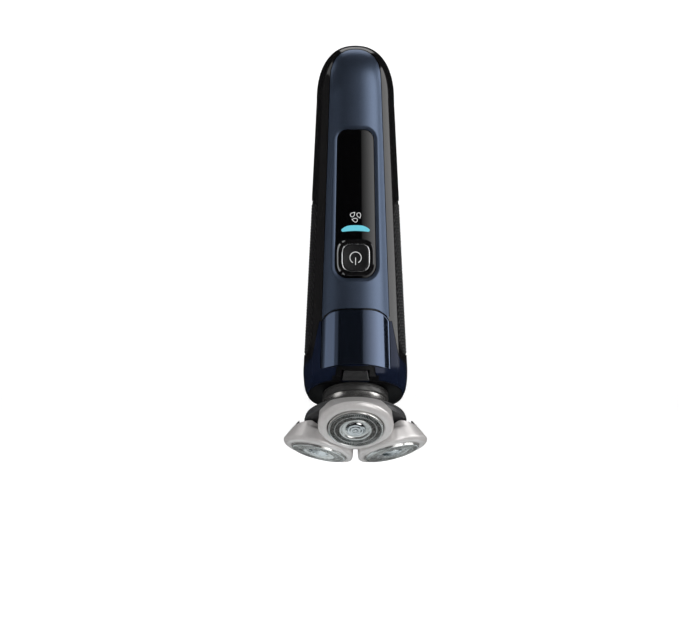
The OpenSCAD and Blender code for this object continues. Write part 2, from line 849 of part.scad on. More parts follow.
module cutter_guard(i) {
    color([0.78, 0.78, 0.78]) on_petal(i) difference() {
        rotate_extrude() polygon([[2.1, -0.3], [5.6, -0.3], [6, 0.4], [10.4, 0.4], [10.4, -3], [guard_r, -3],
            [guard_r, 0.5], [10.6, 0.9], [6, 0.9], [5.2, 0.2], [2.1, 0.2]]);
        for (a = [0:15:345]) rotate([0, 0, a]) translate([6.4, -0.3, 0]) cube([3.8, 0.6, 2]);
    }
}

module cutter_guard_1() { cutter_guard(0); }

module cutter_guard_2() { cutter_guard(1); }

module cutter_guard_3() { cutter_guard(2); }

module inner_cutter(i) {
    color([0.55, 0.56, 0.58]) on_petal(i) {
        difference() {
            union() {
                translate([0, 0, -1.8]) cylinder(1, r = 10);
                translate([0, 0, -4.6]) cylinder(3, r = 4);
            }
            translate([0, 0, -5]) cylinder(2.6, r = 2.9, $fn = 6);
        }
        for (a = [0:24:336]) rotate([0, 0, a]) translate([6.3, -0.25, -0.9]) cube([3.5, 0.5, 1.1]);
    }
}

module inner_cutter_1() { inner_cutter(0); }

module inner_cutter_2() { inner_cutter(1); }

module inner_cutter_3() { inner_cutter(2); }

module centre_cap(i) {
    color([0.85, 0.86, 0.87]) on_petal(i) rotate_extrude()
        polygon([[0, -0.6], [2.05, -0.6], [2.05, 0.25], [4.1, 0.25], [4.1, 0.7], [3.4, 1.15], [1.5, 1.3], [0, 1.3]]);
}

module centre_cap_1() { centre_cap(0); }

module centre_cap_2() { centre_cap(1); }

module centre_cap_3() { centre_cap(2); }

module retaining_ring(i) {
    color([0.30, 0.30, 0.32]) on_petal(i) translate([0, 0, -4.6]) difference() {
        cylinder(0.5, r = bore_r - 0.05);
        translate([0, 0, -1]) cylinder(3, r = 5.4);
    }
}

module retaining_ring_1() { retaining_ring(0); }

module retaining_ring_2() { retaining_ring(1); }

module retaining_ring_3() { retaining_ring(2); }

rear_shell();
front_shell();
neck_housing();
front_panel();
neck_cover();
grip_left();
grip_right();
rear_grip();
display_window();
light_bar();
button_bezel();
power_button();
button_ring();
button_seal();
power_switch();
main_board();
chassis();
battery_cell();
battery_tabs();
motor_can();
drive_shaft();
charging_socket();
charge_pins();
neck_seal();
body_screws();
trimmer_housing();
trimmer_comb();
trimmer_blade();
trimmer_hinge_pin();
trimmer_slider();
release_button();
release_spring();
neck_collar();
neck_dome();
gear_case();
gear_cover();
sun_gear();
planet_gear_1();
planet_gear_2();
planet_gear_3();
drive_spindle_1();
drive_spindle_2();
drive_spindle_3();
head_frame();
head_hinge_pin();
petal_1();
petal_2();
petal_3();
cutter_guard_1();
cutter_guard_2();
cutter_guard_3();
inner_cutter_1();
inner_cutter_2();
inner_cutter_3();
centre_cap_1();
centre_cap_2();
centre_cap_3();
retaining_ring_1();
retaining_ring_2();
retaining_ring_3();
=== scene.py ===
"""Rotary electric shaver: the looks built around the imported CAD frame."""

import math

import bmesh
import bpy
from mathutils import Matrix, Vector
from mathutils.bvhtree import BVHTree
from mathutils.interpolate import poly_3d_calc


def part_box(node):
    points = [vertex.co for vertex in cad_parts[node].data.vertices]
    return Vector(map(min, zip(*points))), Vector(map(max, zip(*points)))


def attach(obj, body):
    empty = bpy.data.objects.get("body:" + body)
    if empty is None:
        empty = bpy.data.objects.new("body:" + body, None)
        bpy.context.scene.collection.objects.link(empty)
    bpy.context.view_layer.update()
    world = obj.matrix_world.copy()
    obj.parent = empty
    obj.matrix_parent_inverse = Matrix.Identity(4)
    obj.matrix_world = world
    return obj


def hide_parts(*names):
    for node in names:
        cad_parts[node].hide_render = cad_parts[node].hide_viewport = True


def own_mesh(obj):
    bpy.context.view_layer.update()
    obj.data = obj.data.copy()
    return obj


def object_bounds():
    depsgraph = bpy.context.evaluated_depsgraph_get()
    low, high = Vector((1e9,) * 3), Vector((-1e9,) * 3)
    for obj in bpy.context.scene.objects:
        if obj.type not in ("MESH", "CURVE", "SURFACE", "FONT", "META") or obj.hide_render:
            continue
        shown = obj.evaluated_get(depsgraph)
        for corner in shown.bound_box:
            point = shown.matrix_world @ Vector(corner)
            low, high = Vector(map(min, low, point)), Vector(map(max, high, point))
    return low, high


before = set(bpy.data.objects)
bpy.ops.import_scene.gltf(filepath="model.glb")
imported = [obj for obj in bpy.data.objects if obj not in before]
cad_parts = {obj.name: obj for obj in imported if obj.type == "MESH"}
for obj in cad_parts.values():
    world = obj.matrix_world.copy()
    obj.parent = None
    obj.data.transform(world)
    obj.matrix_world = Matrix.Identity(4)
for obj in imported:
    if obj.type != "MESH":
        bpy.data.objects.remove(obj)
CAD_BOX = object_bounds()
MM = 0.001
PI = math.pi

# ---- The handle's form, in millimetres, as the CAD part has it ----
POWER, DOME_POWER = 2.4, 2.3
WIDE_HALF, END_HALF = 21.0, 15.6
WIDE_DEPTH, END_DEPTH = 18.0, 13.5
WIDE_Z, DOME_Z, LEAN = 8.5, 117.0, 3.0
HANDLE_H = 139.8
TOP_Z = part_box("rear_shell")[1].z / MM
WALL, SKIN, GAP = 2.6, 1.2, 0.15
INNER_SKIN = SKIN + GAP
HEAD_TILT, PETAL_TILT = math.radians(24), math.radians(16)
PETAL_R, PETAL_H = 17.0, 22.4
FOOT_Z, ARCH_Z, FOOT_HALF = 29.0, 33.8, 13.5
PANEL_HALF, PANEL_DOME, PANEL_TOP = 10.2, 125.0, 137.6
COVER_HALF, COVER_GAP, COVER_FOOT_Z, COVER_FOOT_BOW = 14, 0.4, 9.2, 2.4
BUTTON_Z = 54.0
FORM_EDGE, HOLLOW_LIFT = 0.5, 1.5
RIM_Z = 8.2
SEAM_Y = 1.0
GUARD_R, BORE_R = 11.0, 11.3
POCKET_HALF, POCKET_FOOT, POCKET_TOP, POCKET_DEPTH = 8.8, 42.7, 94.9, 4.6


def mix(a, b, t):
    return a + (b - a) * t


def ease(t):
    t = min(1.0, max(0.0, t))
    return t * t * (3 - 2 * t)


def bulge(v, n):
    return math.copysign(abs(v) ** (2 / n), v)


def dome_share(z, inset):
    t = (z - DOME_Z) / (TOP_Z - DOME_Z - inset)
    return max(0.0, 1 - t**DOME_POWER) ** (1 / DOME_POWER)


def half(z, inset, wide, end):
    if z > DOME_Z:
        return (end - inset) * dome_share(z, inset)
    return mix(wide, end, (z - WIDE_Z) / (DOME_Z - WIDE_Z)) - inset


def half_w(z, inset=0.0):
    return half(z, inset, WIDE_HALF, END_HALF)


def half_d(z, inset=0.0):
    return half(z, inset, WIDE_DEPTH, END_DEPTH)


def centre_y(z):
    return LEAN * (1 - z / HANDLE_H)


def rest_of(v):
    """The other coordinate of the handle's section, where this one is v of its half."""
    return max(0.0, 1 - abs(v) ** POWER) ** (1 / POWER)


def on_front(x, z, depth):
    return Vector((x, centre_y(z) - half_d(z, depth) * rest_of(x / half_w(z, depth)), z))


def on_back(x, z, depth):
    return Vector((-x, centre_y(z) + half_d(z, depth) * rest_of(x / half_w(z, depth)), z))


def on_side(sign):
    def place(y, z, depth):
        return Vector((sign * half_w(z, depth) * rest_of((y - centre_y(z)) / half_d(z, depth)), y, z))

    return place


def on_plane(y_front):
    def place(x, z, depth):
        return Vector((x, y_front + depth, z))

    return place


# ---- Mesh making ----


def linked(name, bm):
    """A new object in the scene from a bmesh, which is used up."""
    mesh = bpy.data.meshes.new(name)
    bm.to_mesh(mesh)
    bm.free()
    obj = bpy.data.objects.new(name, mesh)
    bpy.context.scene.collection.objects.link(obj)
    return obj


def scratch(name, bm):
    """A bare object in metres from a bmesh in millimetres."""
    bmesh.ops.remove_doubles(bm, verts=bm.verts, dist=0.0005)
    bmesh.ops.recalc_face_normals(bm, faces=bm.faces)
    bmesh.ops.scale(bm, vec=(MM, MM, MM), verts=bm.verts)
    return linked(name, bm)


def smoothed(obj, angle):
    for p in obj.data.polygons:
        p.use_smooth = True
    obj.data.set_sharp_from_angle(angle=math.radians(angle))


def dress(obj, body, materials, nodes):
    """Gives a piece its materials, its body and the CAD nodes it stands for."""
    for m in materials:
        obj.data.materials.append(m)
    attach(obj, body)
    if nodes:
        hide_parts(*nodes)
    return obj


def add_object(name, bm, body, materials, nodes, smooth=35):
    """A finished piece from a bmesh in millimetres."""
    obj = scratch(name, bm)
    smoothed(obj, smooth)
    return dress(obj, body, materials, nodes)


def bridge(bm, loops, closed=False, caps=False):
    """Quads between neighbouring loops of points. closed joins the last loop to the first."""
    rows = [[bm.verts.new(p) for p in loop] for loop in loops]
    n = len(rows[0])
    pairs = list(zip(rows, rows[1:])) + ([(rows[-1], rows[0])] if closed else [])
    for low, high in pairs:
        for i in range(n):
            j = (i + 1) % n
            bm.faces.new((low[i], low[j], high[j], high[i]))
    if caps:
        bm.faces.new(rows[0][::-1])
        bm.faces.new(rows[-1])


def circle(r, h, n):
    return [Vector((r * math.cos(2 * PI * k / n), r * math.sin(2 * PI * k / n), h)) for k in range(n)]


def spin(bm, profile, matrix, segments=96):
    """A closed profile of (radius, height) turned about the Z axis of matrix."""
    bridge(bm, [[matrix @ p for p in circle(max(r, 0.0002), h, segments)] for r, h in profile], closed=True)


def box_mesh(bm, low, high):
    low, high = Vector(low), Vector(high)
    for v in bmesh.ops.create_cube(bm, size=1.0)["verts"]:
        v.co = Vector([mix(low[k], high[k], v.co[k] + 0.5) for k in range(3)])


def rays(low, high, along, cap):
    """Origins on a spine and directions that fan right round it, anticlockwise."""
    low, high = Vector(low), Vector(high)
    up = math.atan2((high - low).y, (high - low).x)
    out = [(low.lerp(high, k / along), up - PI / 2) for k in range(along)]
    out += [(high, up - PI / 2 + PI * k / cap) for k in range(cap)]
    out += [(high.lerp(low, k / along), up + PI / 2) for k in range(along)]
    out += [(low, up + PI / 2 + PI * k / cap) for k in range(cap)]
    return [(o, Vector((math.cos(a), math.sin(a)))) for o, a in out]


def cast(outline, origin, way):
    """Where a ray from inside an outline leaves it."""
    best = 0.0
    for i, b in enumerate(outline):
        a = outline[i - 1]
        ex, ey = b[0] - a[0], b[1] - a[1]
        det = way.x * ey - way.y * ex
        if abs(det) < 1e-9:
            continue
        dx, dy = a[0] - origin.x, a[1] - origin.y
        t = (dx * ey - dy * ex) / det
        s = (dx * way.y - dy * way.x) / det
        if t > best and -1e-6 <= s <= 1 + 1e-6:
            best = t
    return origin + way * best


def fan_loop(outline, fan, corners=()):
    loop = [cast(outline, o, w) for o, w in fan]
    for c in corners:
        near = min(range(len(loop)), key=lambda i: (loop[i] - Vector(c)).length)
        loop[near] = Vector(c)
    return loop


def shrink(loop, d):
    """The loop moved inwards by d."""
    out = []
    for i, p in enumerate(loop):
        t = loop[(i + 1) % len(loop)] - loop[i - 1]
        out.append(p + Vector((-t.y, t.x)).normalized() * d)
    return out


def plate(
    bm, outline, spine, place, thick, edge=0.3, top=0.0, hole=None, hole_profile=(), rows=12, along=40, cap=30,
    crown=None, corners=(), edge_profile=(),
):
    """A plate with a rounded edge that follows a surface, solid or round a hole.

    Its loops of points run from the underside up the edge, over the top, down the hole and back under.
    """
    fan = rays(*spine, along, cap)
    outer = fan_loop(outline, fan, corners)
    bottom = top + thick
    steps = 5 if edge else 0
    turn = [PI / 2 * k / max(1, steps) for k in range(steps + 1)]
    rounding = [(edge * (1 - math.cos(a)), edge * (1 - math.sin(a))) for a in turn]
    levels = [(outer, bottom)] + [(shrink(outer, back), top + down) for back, down in edge_profile or rounding]
    start = levels[-1][0]
    if hole:
        rim = fan_loop(hole, fan)
        end = shrink(rim, -hole_profile[0][0])
    else:
        rim = end = [o for o, _ in fan]
    levels += [([mix(p, q, k / rows) for p, q in zip(start, end)], top) for k in range(1, rows + 1)]
    if hole:
        levels += [(shrink(rim, -out), depth) for out, depth in hole_profile[1:]] + [(rim, bottom)]
    levels += [([mix(p, q, k / 6) for p, q in zip(rim, outer)], bottom) for k in range(1 if hole else 0, 6)]
    loops = []
    for loop, depth in levels:
        raised = crown if crown and depth <= top + edge + 1e-6 else lambda x, z: 0.0
        loops.append([place(p.x, p.y, depth + raised(p.x, p.y)) for p in loop])
    if hole:
        bridge(bm, loops, closed=True)
    else:  # the two loops on the spine stay unjoined, so that no wall stands inside the plate
        bridge(bm, loops[-6:] + loops[:-6])


def made(builder, *args, **kwargs):
    """A new bmesh with what one builder puts in it."""
    bm = bmesh.new()
    builder(bm, *args, **kwargs)
    return bm


def cut(obj, steps):
    """Booleans in turn: (operation, cutter object). The cutters are used up."""
    for operation, cutter in steps:
        m = obj.modifiers.new("cut", "BOOLEAN")
        m.operation, m.object, m.solver = operation, cutter, "EXACT"
    graph = bpy.context.evaluated_depsgraph_get()
    new = bpy.data.meshes.new_from_object(obj.evaluated_get(graph))
    obj.modifiers.clear()
    obj.data = new
    for _, cutter in steps:
        bpy.data.objects.remove(cutter)
    return obj


def clean(obj, smooth=35):
    """Merges what a boolean leaves doubled and sets the smooth flags."""
    bm = bmesh.new()
    bm.from_mesh(obj.data)
    bmesh.ops.remove_doubles(bm, verts=bm.verts, dist=2e-6)
    bmesh.ops.dissolve_degenerate(bm, edges=bm.edges, dist=1e-6)
    bm.to_mesh(obj.data)
    bm.free()
    smoothed(obj, smooth)


def true_normals(obj, form, near=0.00004):
    """Faces that lie on the uncut form take its own smooth normals."""
    bm = bmesh.new()
    bm.from_mesh(form.data)
    bm.normal_update()
    bm.faces.ensure_lookup_table()
    tree = BVHTree.FromBMesh(bm)
    mesh = obj.data
    custom = [Vector(n.vector) for n in mesh.corner_normals]
    for poly in mesh.polygons:
        for li in poly.loop_indices:
            co = mesh.vertices[mesh.loops[li].vertex_index].co
            at, normal, index, distance = tree.find_nearest(co)
            if at is None or distance > near or normal.dot(poly.normal) < 0.96:
                continue
            face = bm.faces[index]
            weights = poly_3d_calc([v.co for v in face.verts], at)
            n = sum((v.normal * w for v, w in zip(face.verts, weights)), Vector((0, 0, 0)))
            if n.length > 0.5:
                custom[li] = n.normalized()
    mesh.normals_split_custom_set(custom)
    bm.free()


def follow(obj, place, top):
    """Corners on a plate's face take the normals of the surface that it follows."""
    mesh = obj.data
    custom = [Vector(n.vector) for n in mesh.corner_normals]
    known = {}
    for loop in mesh.loops:
        index = loop.vertex_index
        if index not in known:
            p = mesh.vertices[index].co / MM
            known[index] = None
            if (place(p.x, p.z, top) - p).length < 0.006:
                across = place(p.x + 0.05, p.z, top) - place(p.x - 0.05, p.z, top)
                along = place(p.x, p.z + 0.05, top) - place(p.x, p.z - 0.05, top)
                known[index] = across.cross(along).normalized()
        if known[index] and known[index].dot(custom[loop.index]) > 0.9:
            custom[loop.index] = known[index]
    mesh.normals_split_custom_set(custom)


# ---- Materials ----


def new_material(name):
    """A material, its makers of nodes and links, and its surface node's inputs."""
    m = bpy.data.materials.new(name)
    m.use_nodes = True
    tree = m.node_tree
    return m, tree.nodes.new, tree.links.new, tree.nodes["Principled BSDF"].inputs


def put(inputs, values):
    for key, value in values.items():
        inputs[key].default_value = value


def set_ramp(ramp, low, high):
    for stop, (position, colour) in zip(ramp.color_ramp.elements, (low, high)):
        stop.position, stop.color = position, [*colour, 1]


def shader(
    name, colour, rough, metal=0.0, coat=0.0, coat_rough=0.05, spec=0.5, shade=0.85, spot=900, grain=2500,
    bump=0.1, depth=0.00002, swing=0.06, stretch=(1, 1, 1), emit=None,
):
    """A node material: colour varied by one noise, roughness and fine grain by another."""
    m, node, link, base = new_material(name)
    at = node("ShaderNodeTexCoord")
    turn = node("ShaderNodeMapping")
    put(turn.inputs, {"Scale": stretch})
    link(at.outputs["Object"], turn.inputs["Vector"])
    cloud = node("ShaderNodeTexNoise")
    put(cloud.inputs, {"Scale": spot, "Detail": 3})
    link(turn.outputs["Vector"], cloud.inputs["Vector"])
    ramp = node("ShaderNodeValToRGB")
    set_ramp(ramp, (0.3, [c * shade for c in colour]), (0.7, colour))
    link(cloud.outputs["Fac"], ramp.inputs["Fac"])
    link(ramp.outputs["Color"], base["Base Color"])
    fine = node("ShaderNodeTexNoise")
    put(fine.inputs, {"Scale": grain, "Detail": 4})
    link(turn.outputs["Vector"], fine.inputs["Vector"])
    span = node("ShaderNodeMapRange")
    put(span.inputs, {"To Min": max(0.0, rough - swing), "To Max": min(1.0, rough + swing)})
    link(fine.outputs["Fac"], span.inputs["Value"])
    link(span.outputs["Result"], base["Roughness"])
    if bump:
        relief = node("ShaderNodeBump")
        put(relief.inputs, {"Strength": bump, "Distance": depth})
        link(fine.outputs["Fac"], relief.inputs["Height"])
        link(relief.outputs["Normal"], base["Normal"])
    put(base, {"Metallic": metal, "Specular IOR Level": spec, "Coat Weight": coat, "Coat Roughness": coat_rough})
    if emit:
        put(base, {"Emission Color": [*emit[:3], 1], "Emission Strength": emit[3]})
    return m


BLACK = shader("gloss_black", (0.0045, 0.0042, 0.0045), 0.10, spot=60, grain=180, bump=0.02, swing=0.015)
SHADE_BLACK = shader(
    "matt_black_painted_shade", (0.0045, 0.0045, 0.005), 0.34, spec=0.12, spot=200, grain=4000, bump=0.08, swing=0.05
)
NAVY = shader(
    "navy", (0.0065, 0.0105, 0.026), 0.2, metal=0.3, spec=0.17, coat=0.06, coat_rough=0.08, spot=120,
    grain=9000, bump=0.03, swing=0.03,
)
SLATE = shader(
    "slate_blue", (0.086, 0.114, 0.172), 0.34, metal=0.86, coat=0.12, coat_rough=0.2, spot=2500, shade=0.9,
    grain=14000, bump=0.05, depth=0.00001, swing=0.04,
)
MIRROR_BLUE = shader(
    "gloss_blue", (0.054, 0.075, 0.122), 0.09, metal=0.95, coat=0.6, spot=60, shade=0.96, grain=100, bump=0.0,
    swing=0.01,
)
RUBBER = shader(
    "grip_rubber", (0.0075, 0.0070, 0.0075), 0.6, spec=0.12, spot=400, shade=0.7, grain=5000, bump=0.3, swing=0.1
)
RIB = shader("grip_rib", (0.013, 0.013, 0.014), 0.36, spec=0.35, spot=400, grain=5000, bump=0.05, swing=0.05)
GLASS = shader(
    "display_glass", (0.0008, 0.0008, 0.0010), 0.05, spec=0.55, spot=50, grain=90, bump=0.01, swing=0.012
)
TEAL = shader(
    "light_guide", (0.04, 0.16, 0.2), 0.35, spec=0.2, spot=1200, shade=0.92, grain=600, bump=0.0,
    emit=(0.14, 0.56, 0.67, 0.72),
)
PRINT = shader(
    "print_white", (0.5, 0.5, 0.5), 0.4, spot=3000, shade=0.95, grain=4000, bump=0.0, emit=(0.9, 0.92, 0.93, 0.42)
)
BUTTON = shader(
    "button_black", (0.014, 0.014, 0.015), 0.26, metal=0.3, spot=300, shade=0.75, grain=9000, bump=0.08,
    swing=0.05,
)
CHROME = shader(
    "chrome", (0.86, 0.87, 0.88), 0.09, metal=1.0, spot=200, shade=0.96, grain=3000, bump=0.02, swing=0.03
)
BEZEL_HIGHLIGHT = shader(
    "bezel_painted_highlight", (0.84, 0.85, 0.86), 0.42, metal=0.85, spot=300, shade=0.92, grain=6000, bump=0.03, swing=0.04
)
SEAL = shader("seal_rubber", (0.02, 0.02, 0.02), 0.7, spec=0.3, grain=4000, bump=0.3)
WHITE_PLASTIC = shader("switch_plastic", (0.58, 0.57, 0.53), 0.45, grain=3000)
BOARD = shader("circuit_board", (0.02, 0.12, 0.05), 0.4, coat=0.3, spot=500, shade=0.5, bump=0.2)
CHASSIS = shader("frame_plastic", (0.55, 0.55, 0.52), 0.5, bump=0.12)
WRAP = shader("battery_wrap", (0.05, 0.22, 0.11), 0.3, coat=0.3, spot=40, shade=0.7, grain=1500, bump=0.05)
NICKEL = shader("nickel", (0.66, 0.62, 0.55), 0.28, metal=1.0, spot=700, grain=4000, bump=0.06)
MOTOR = shader("motor_steel", (0.52, 0.53, 0.55), 0.33, metal=1.0, spot=500, grain=4000, stretch=(1, 1, 0.1))
STEEL = shader(
    "steel", (0.62, 0.63, 0.65), 0.26, metal=1.0, spot=600, grain=5000, bump=0.08, stretch=(1, 1, 0.15)
)
SOCKET = shader("socket_black", (0.012, 0.012, 0.013), 0.35, grain=3500, bump=0.15)
BRASS = shader("brass_pins", (0.72, 0.52, 0.2), 0.22, metal=1.0, grain=5000, bump=0.05)
SCREW = shader("screw_steel", (0.5, 0.5, 0.52), 0.3, metal=1.0, grain=5000)
TRIMMER = shader(
    "trimmer_black", (0.010, 0.010, 0.011), 0.3, spot=300, shade=0.75, grain=7000, bump=0.12, swing=0.05
)
BLADE = shader("blade_steel", (0.66, 0.67, 0.69), 0.22, metal=1.0, spot=400, grain=6000, stretch=(0.1, 1, 1))
SLIDER = shader("slider_grey", (0.028, 0.028, 0.030), 0.42, spot=600, shade=0.8, grain=6000, bump=0.2)
TAB = shader(
    "release_grey", (0.018, 0.018, 0.019), 0.34, spot=500, shade=0.8, grain=7000, bump=0.12, swing=0.05
)
COLLAR = shader(
    "collar_grey", (0.055, 0.054, 0.053), 0.30, metal=0.4, spot=400, grain=6000, stretch=(1, 1, 0.2)
)
SILVER = shader(
    "warm_silver", (0.60, 0.585, 0.565), 0.26, metal=0.95, spot=700, shade=0.94, grain=7000, bump=0.06, swing=0.05
)
DARK_GREY = shader("dark_grey", (0.045, 0.046, 0.048), 0.36, spot=500, shade=0.8, grain=6000, bump=0.15)
GEAR = shader("gear_plastic", (0.72, 0.70, 0.64), 0.42, grain=3500)
SPINDLE = shader("spindle_plastic", (0.66, 0.64, 0.58), 0.38, grain=3500)
FRAME_BLACK = shader("frame_black", (0.018, 0.018, 0.02), 0.4, grain=4000, bump=0.15)
PETAL = shader(
    "petal_silver", (0.62, 0.60, 0.59), 0.34, metal=0.45, coat=0.1, coat_rough=0.25, spot=500, shade=0.93,
    grain=6500, depth=0.00003, stretch=(1, 0.25, 1),
)
GUARD = shader("guard_steel", (0.80, 0.80, 0.78), 0.22, metal=0.9, shade=0.88, grain=8000, bump=0.06)
CUTTER_DARK = shader("cutter_steel", (0.030, 0.042, 0.046), 0.3, metal=0.8, shade=0.7, grain=6000)

# ---- The handle's solid ----
AROUND = 144


def ring(w, d, yc, z, turn):
    """The handle's section at a height, rocked about the X axis by turn."""
    out = []
    for i in range(AROUND):
        a = 2 * PI * i / AROUND
        x, y = w * bulge(math.cos(a), POWER), yc + d * bulge(math.sin(a), POWER)
        out.append(Vector((x, y * math.cos(turn) + z * math.sin(turn), z * math.cos(turn) - y * math.sin(turn))))
    return out


def level(z):
    return [half_w(z), half_d(z), centre_y(z), z, 0.0]


def curve_through(a, b, c, d, t):
    """Catmull-Rom between b and c."""
    return [
        0.5 * (2 * q + (r - p) * t + (2 * p - 5 * q + 4 * r - s) * t * t + (3 * q - p - 3 * r + s) * t**3)
        for p, q, r, s in zip(a, b, c, d)
    ]


def handle_solid(inset=0.0, lift=0.0, edge=0.0):
    """The whole handle at a depth below its surface. lift raises its foot, edge rounds it."""
    foot = [19.0, 15.4, 2.2, -0.5, HEAD_TILT]
    keys = [foot, [20.5, 17.2, LEAN, 2.5, HEAD_TILT / 2], level(WIDE_Z), level(17)]
    keys.insert(0, [2 * a - b for a, b in zip(keys[0], keys[1])])
    rows = []
    for k in (1, 2):
        rows += [curve_through(*keys[k - 1 : k + 3], j / 7) for j in range(7)]
    if lift:
        rows[0][3] += lift
        rows = [rows[0]] + rows[4:]
    else:
        w, d, yc, z, turn = rows[0]
        rows[0] = [w, d, yc, z + edge, turn]
        for k in range(4, -1, -1):
            a = PI / 2 * k / 5
            back = edge * (1 - math.sin(a))
            rows.insert(0, [w - back, d - back, yc, z + edge * (1 - math.cos(a)), turn])
    loops = [ring(r[0] - inset, r[1] - inset, *r[2:]) for r in rows]
    heights = [mix(WIDE_Z, DOME_Z, k / 45) for k in range(45)]
    for k in range(26):
        heights.append(DOME_Z + (TOP_Z - DOME_Z - inset) * bulge(math.sin(PI / 2 * k / 26), DOME_POWER))
    loops += [ring(half_w(z, inset), half_d(z, inset), centre_y(z), z, 0.0) for z in heights]
    bm = bmesh.new()
    bridge(bm, loops, caps=True)
    return bm


# ---- Outlines on the handle ----


def rounded(w, h, r, cx=0.0, cy=0.0, power=2.0):
    """A rectangle with rounded corners; a power over 2 makes them squarer."""
    out = []
    for q, (sx, sy) in enumerate([(1, 1), (-1, 1), (-1, -1), (1, -1)]):
        for k in range(13):
            a = PI / 2 * (q + k / 12)
            x, y = r * bulge(math.cos(a), power), r * bulge(math.sin(a), power)
            out.append((cx + sx * (w / 2 - r) + x, cy + sy * (h / 2 - r) + y))
    return out


def panel_half(z):
    if z <= PANEL_DOME:
        return mix(FOOT_HALF, PANEL_HALF, (z - FOOT_Z) / (PANEL_DOME - FOOT_Z))
    t = (z - PANEL_DOME) / (PANEL_TOP - PANEL_DOME)
    return PANEL_HALF * max(0.0, 1 - t**DOME_POWER) ** (1 / DOME_POWER)


def arch(x):
    return mix(ARCH_Z, FOOT_Z, abs(x / FOOT_HALF) ** 4.5)


def arch_points(grow, steps, lift):
    """The arch between the panel and the neck cover."""
    xs = [FOOT_HALF * k / 20 for k in steps]
    return [(x * (1 + grow / FOOT_HALF), arch(x) + lift) for x in xs]


def panel_outline(grow=0.0):
    heights = (45, 65, 85, 105, 118, 125)
    out = arch_points(grow, range(-20, 21), -grow)
    out += [(panel_half(z) + grow, z) for z in heights]
    wide, tall = PANEL_HALF + grow, PANEL_TOP - PANEL_DOME + grow
    for k in range(1, 48):
        a = PI * k / 48
        out.append((wide * bulge(math.cos(a), DOME_POWER), PANEL_DOME + tall * bulge(math.sin(a), DOME_POWER)))
    return out + [(-panel_half(z) - grow, z) for z in heights[::-1]]


def cover_outline(grow=0.0):
    out = arch_points(grow, range(20, -21, -1), grow - COVER_GAP)
    foot = COVER_FOOT_Z + COVER_FOOT_BOW
    return out + [
        ((COVER_HALF + grow) * k / 20, foot - COVER_FOOT_BOW * (k / 20) ** 2 - grow) for k in range(-20, 21)
    ]


def hull(points):
    """The convex outline round some points, anticlockwise."""
    pts = sorted(set((round(x, 5), round(y, 5)) for x, y in points))

    def turns_left(a, b, c):
        return (b[0] - a[0]) * (c[1] - a[1]) > (b[1] - a[1]) * (c[0] - a[0])

    def chain(items):
        out = []
        for p in items:
            while len(out) > 1 and not turns_left(out[-2], out[-1], p):
                out.pop()
            out.append(p)
        return out[:-1]

    return chain(pts) + chain(pts[::-1])


def discs(*items, grow=0.0):
    """The hull round circles given as (centre u, centre v, radius)."""
    spots = [(math.cos(2 * PI * k / 48), math.sin(2 * PI * k / 48)) for k in range(48)]
    return hull((cu + (r + grow) * x, cv + (r + grow) * y) for cu, cv, r in items for x, y in spots)


def window_outline(grow=0.0):
    return discs((3.2, 101, 4), (-3.2, 101, 4), (3.3, 50.8, 4.8), (-3.3, 50.8, 4.8), grow=grow)


def grip_outline(grow=0.0):
    return discs((-3, 20, 5), (10, 20, 5), (-4, 73, 4), (8, 73, 4), grow=grow)


def prism_front(outline, y_high=0.0):
    """An outline on the front, pushed right through from in front of the handle."""
    loops = [[Vector((x, y, z)) for x, z in outline] for y in (-40.0, y_high)]
    return scratch("prism", made(bridge, loops, caps=True))


def block(low, high):
    return scratch("block", made(box_mesh, low, high))


def recess(outline, spine, place, depth=INNER_SKIN, **kwargs):
    """What is cut away to set an outline into a surface."""
    return scratch("recess", made(plate, outline, spine, place, depth + 1, edge=0.0, top=-1.0, rows=16, **kwargs))


def rod_profile(r, length):
    return [(0, 0), (r, 0), (r, length), (0, length)]


def rod(start, way, length, r):
    turn = Vector((0, 0, 1)).rotation_difference(Vector(way)).to_matrix().to_4x4()
    at = Matrix.Translation(Vector(start)) @ turn
    return scratch("rod", made(spin, rod_profile(r, length), at, 48))


HEAD = Matrix.Rotation(PI - HEAD_TILT, 4, "X")
PANEL_SPINE, GRIP_SPINE = ((0, 54), (0, 98)), ((3.5, 22), (2.0, 71))
COVER_RECESS_SPINE, REAR_GRIP_SPINE = ((0, 16), (0, 27)), ((0, 20), (0, 30))
SIDES = ((1, "right"), (-1, "left"))

outer_form = scratch("outer_form", handle_solid(edge=FORM_EDGE))


def take_away(*cutters):
    return [("DIFFERENCE", cutter) for cutter in cutters]


def hollow_form():
    return scratch("hollow", handle_solid(WALL, HOLLOW_LIFT))


def grip_cutters():
    return take_away(*[recess(grip_outline(GAP), GRIP_SPINE, on_side(s)) for s, _ in SIDES])


def shell(name, low_y, high_y, cuts, node, tray=None):
    """One half of the handle's casing. The tray is left standing inside it, behind a pocket."""
    obj = scratch(name, handle_solid(edge=FORM_EDGE))
    hollow = hollow_form()
    if tray:
        cut(hollow, take_away(tray))
    half_block = block((-60, low_y, RIM_Z + GAP), (60, high_y, 200))
    cut(obj, take_away(hollow) + [("INTERSECT", half_block)] + cuts)
    clean(obj)
    true_normals(obj, outer_form)
    dress(obj, "handle", [BLACK], [node])


def housing_outline(grow=0.0):
    """The neck housing seen from the front: a bowl with two cheeks."""
    right = [(22.5, -20), (22.5, RIM_Z + grow), (17.3 + grow, 14.4), (14.4 + grow, 28.6 + grow)]
    return [(-x, z) for x, z in right[::-1]] + right


shell(
    "handle_front_shell", -60, SEAM_Y - GAP / 2,
    take_away(
        prism_front(housing_outline(GAP)),
        recess(panel_outline(GAP), PANEL_SPINE, on_front, depth=1.7, along=50, cap=60),
        recess(cover_outline(GAP), COVER_RECESS_SPINE, on_front),
        rod((0, -30, BUTTON_Z), (0, 1, 0), 30, 2.7),
    ) + grip_cutters(),
    "front_shell",
)


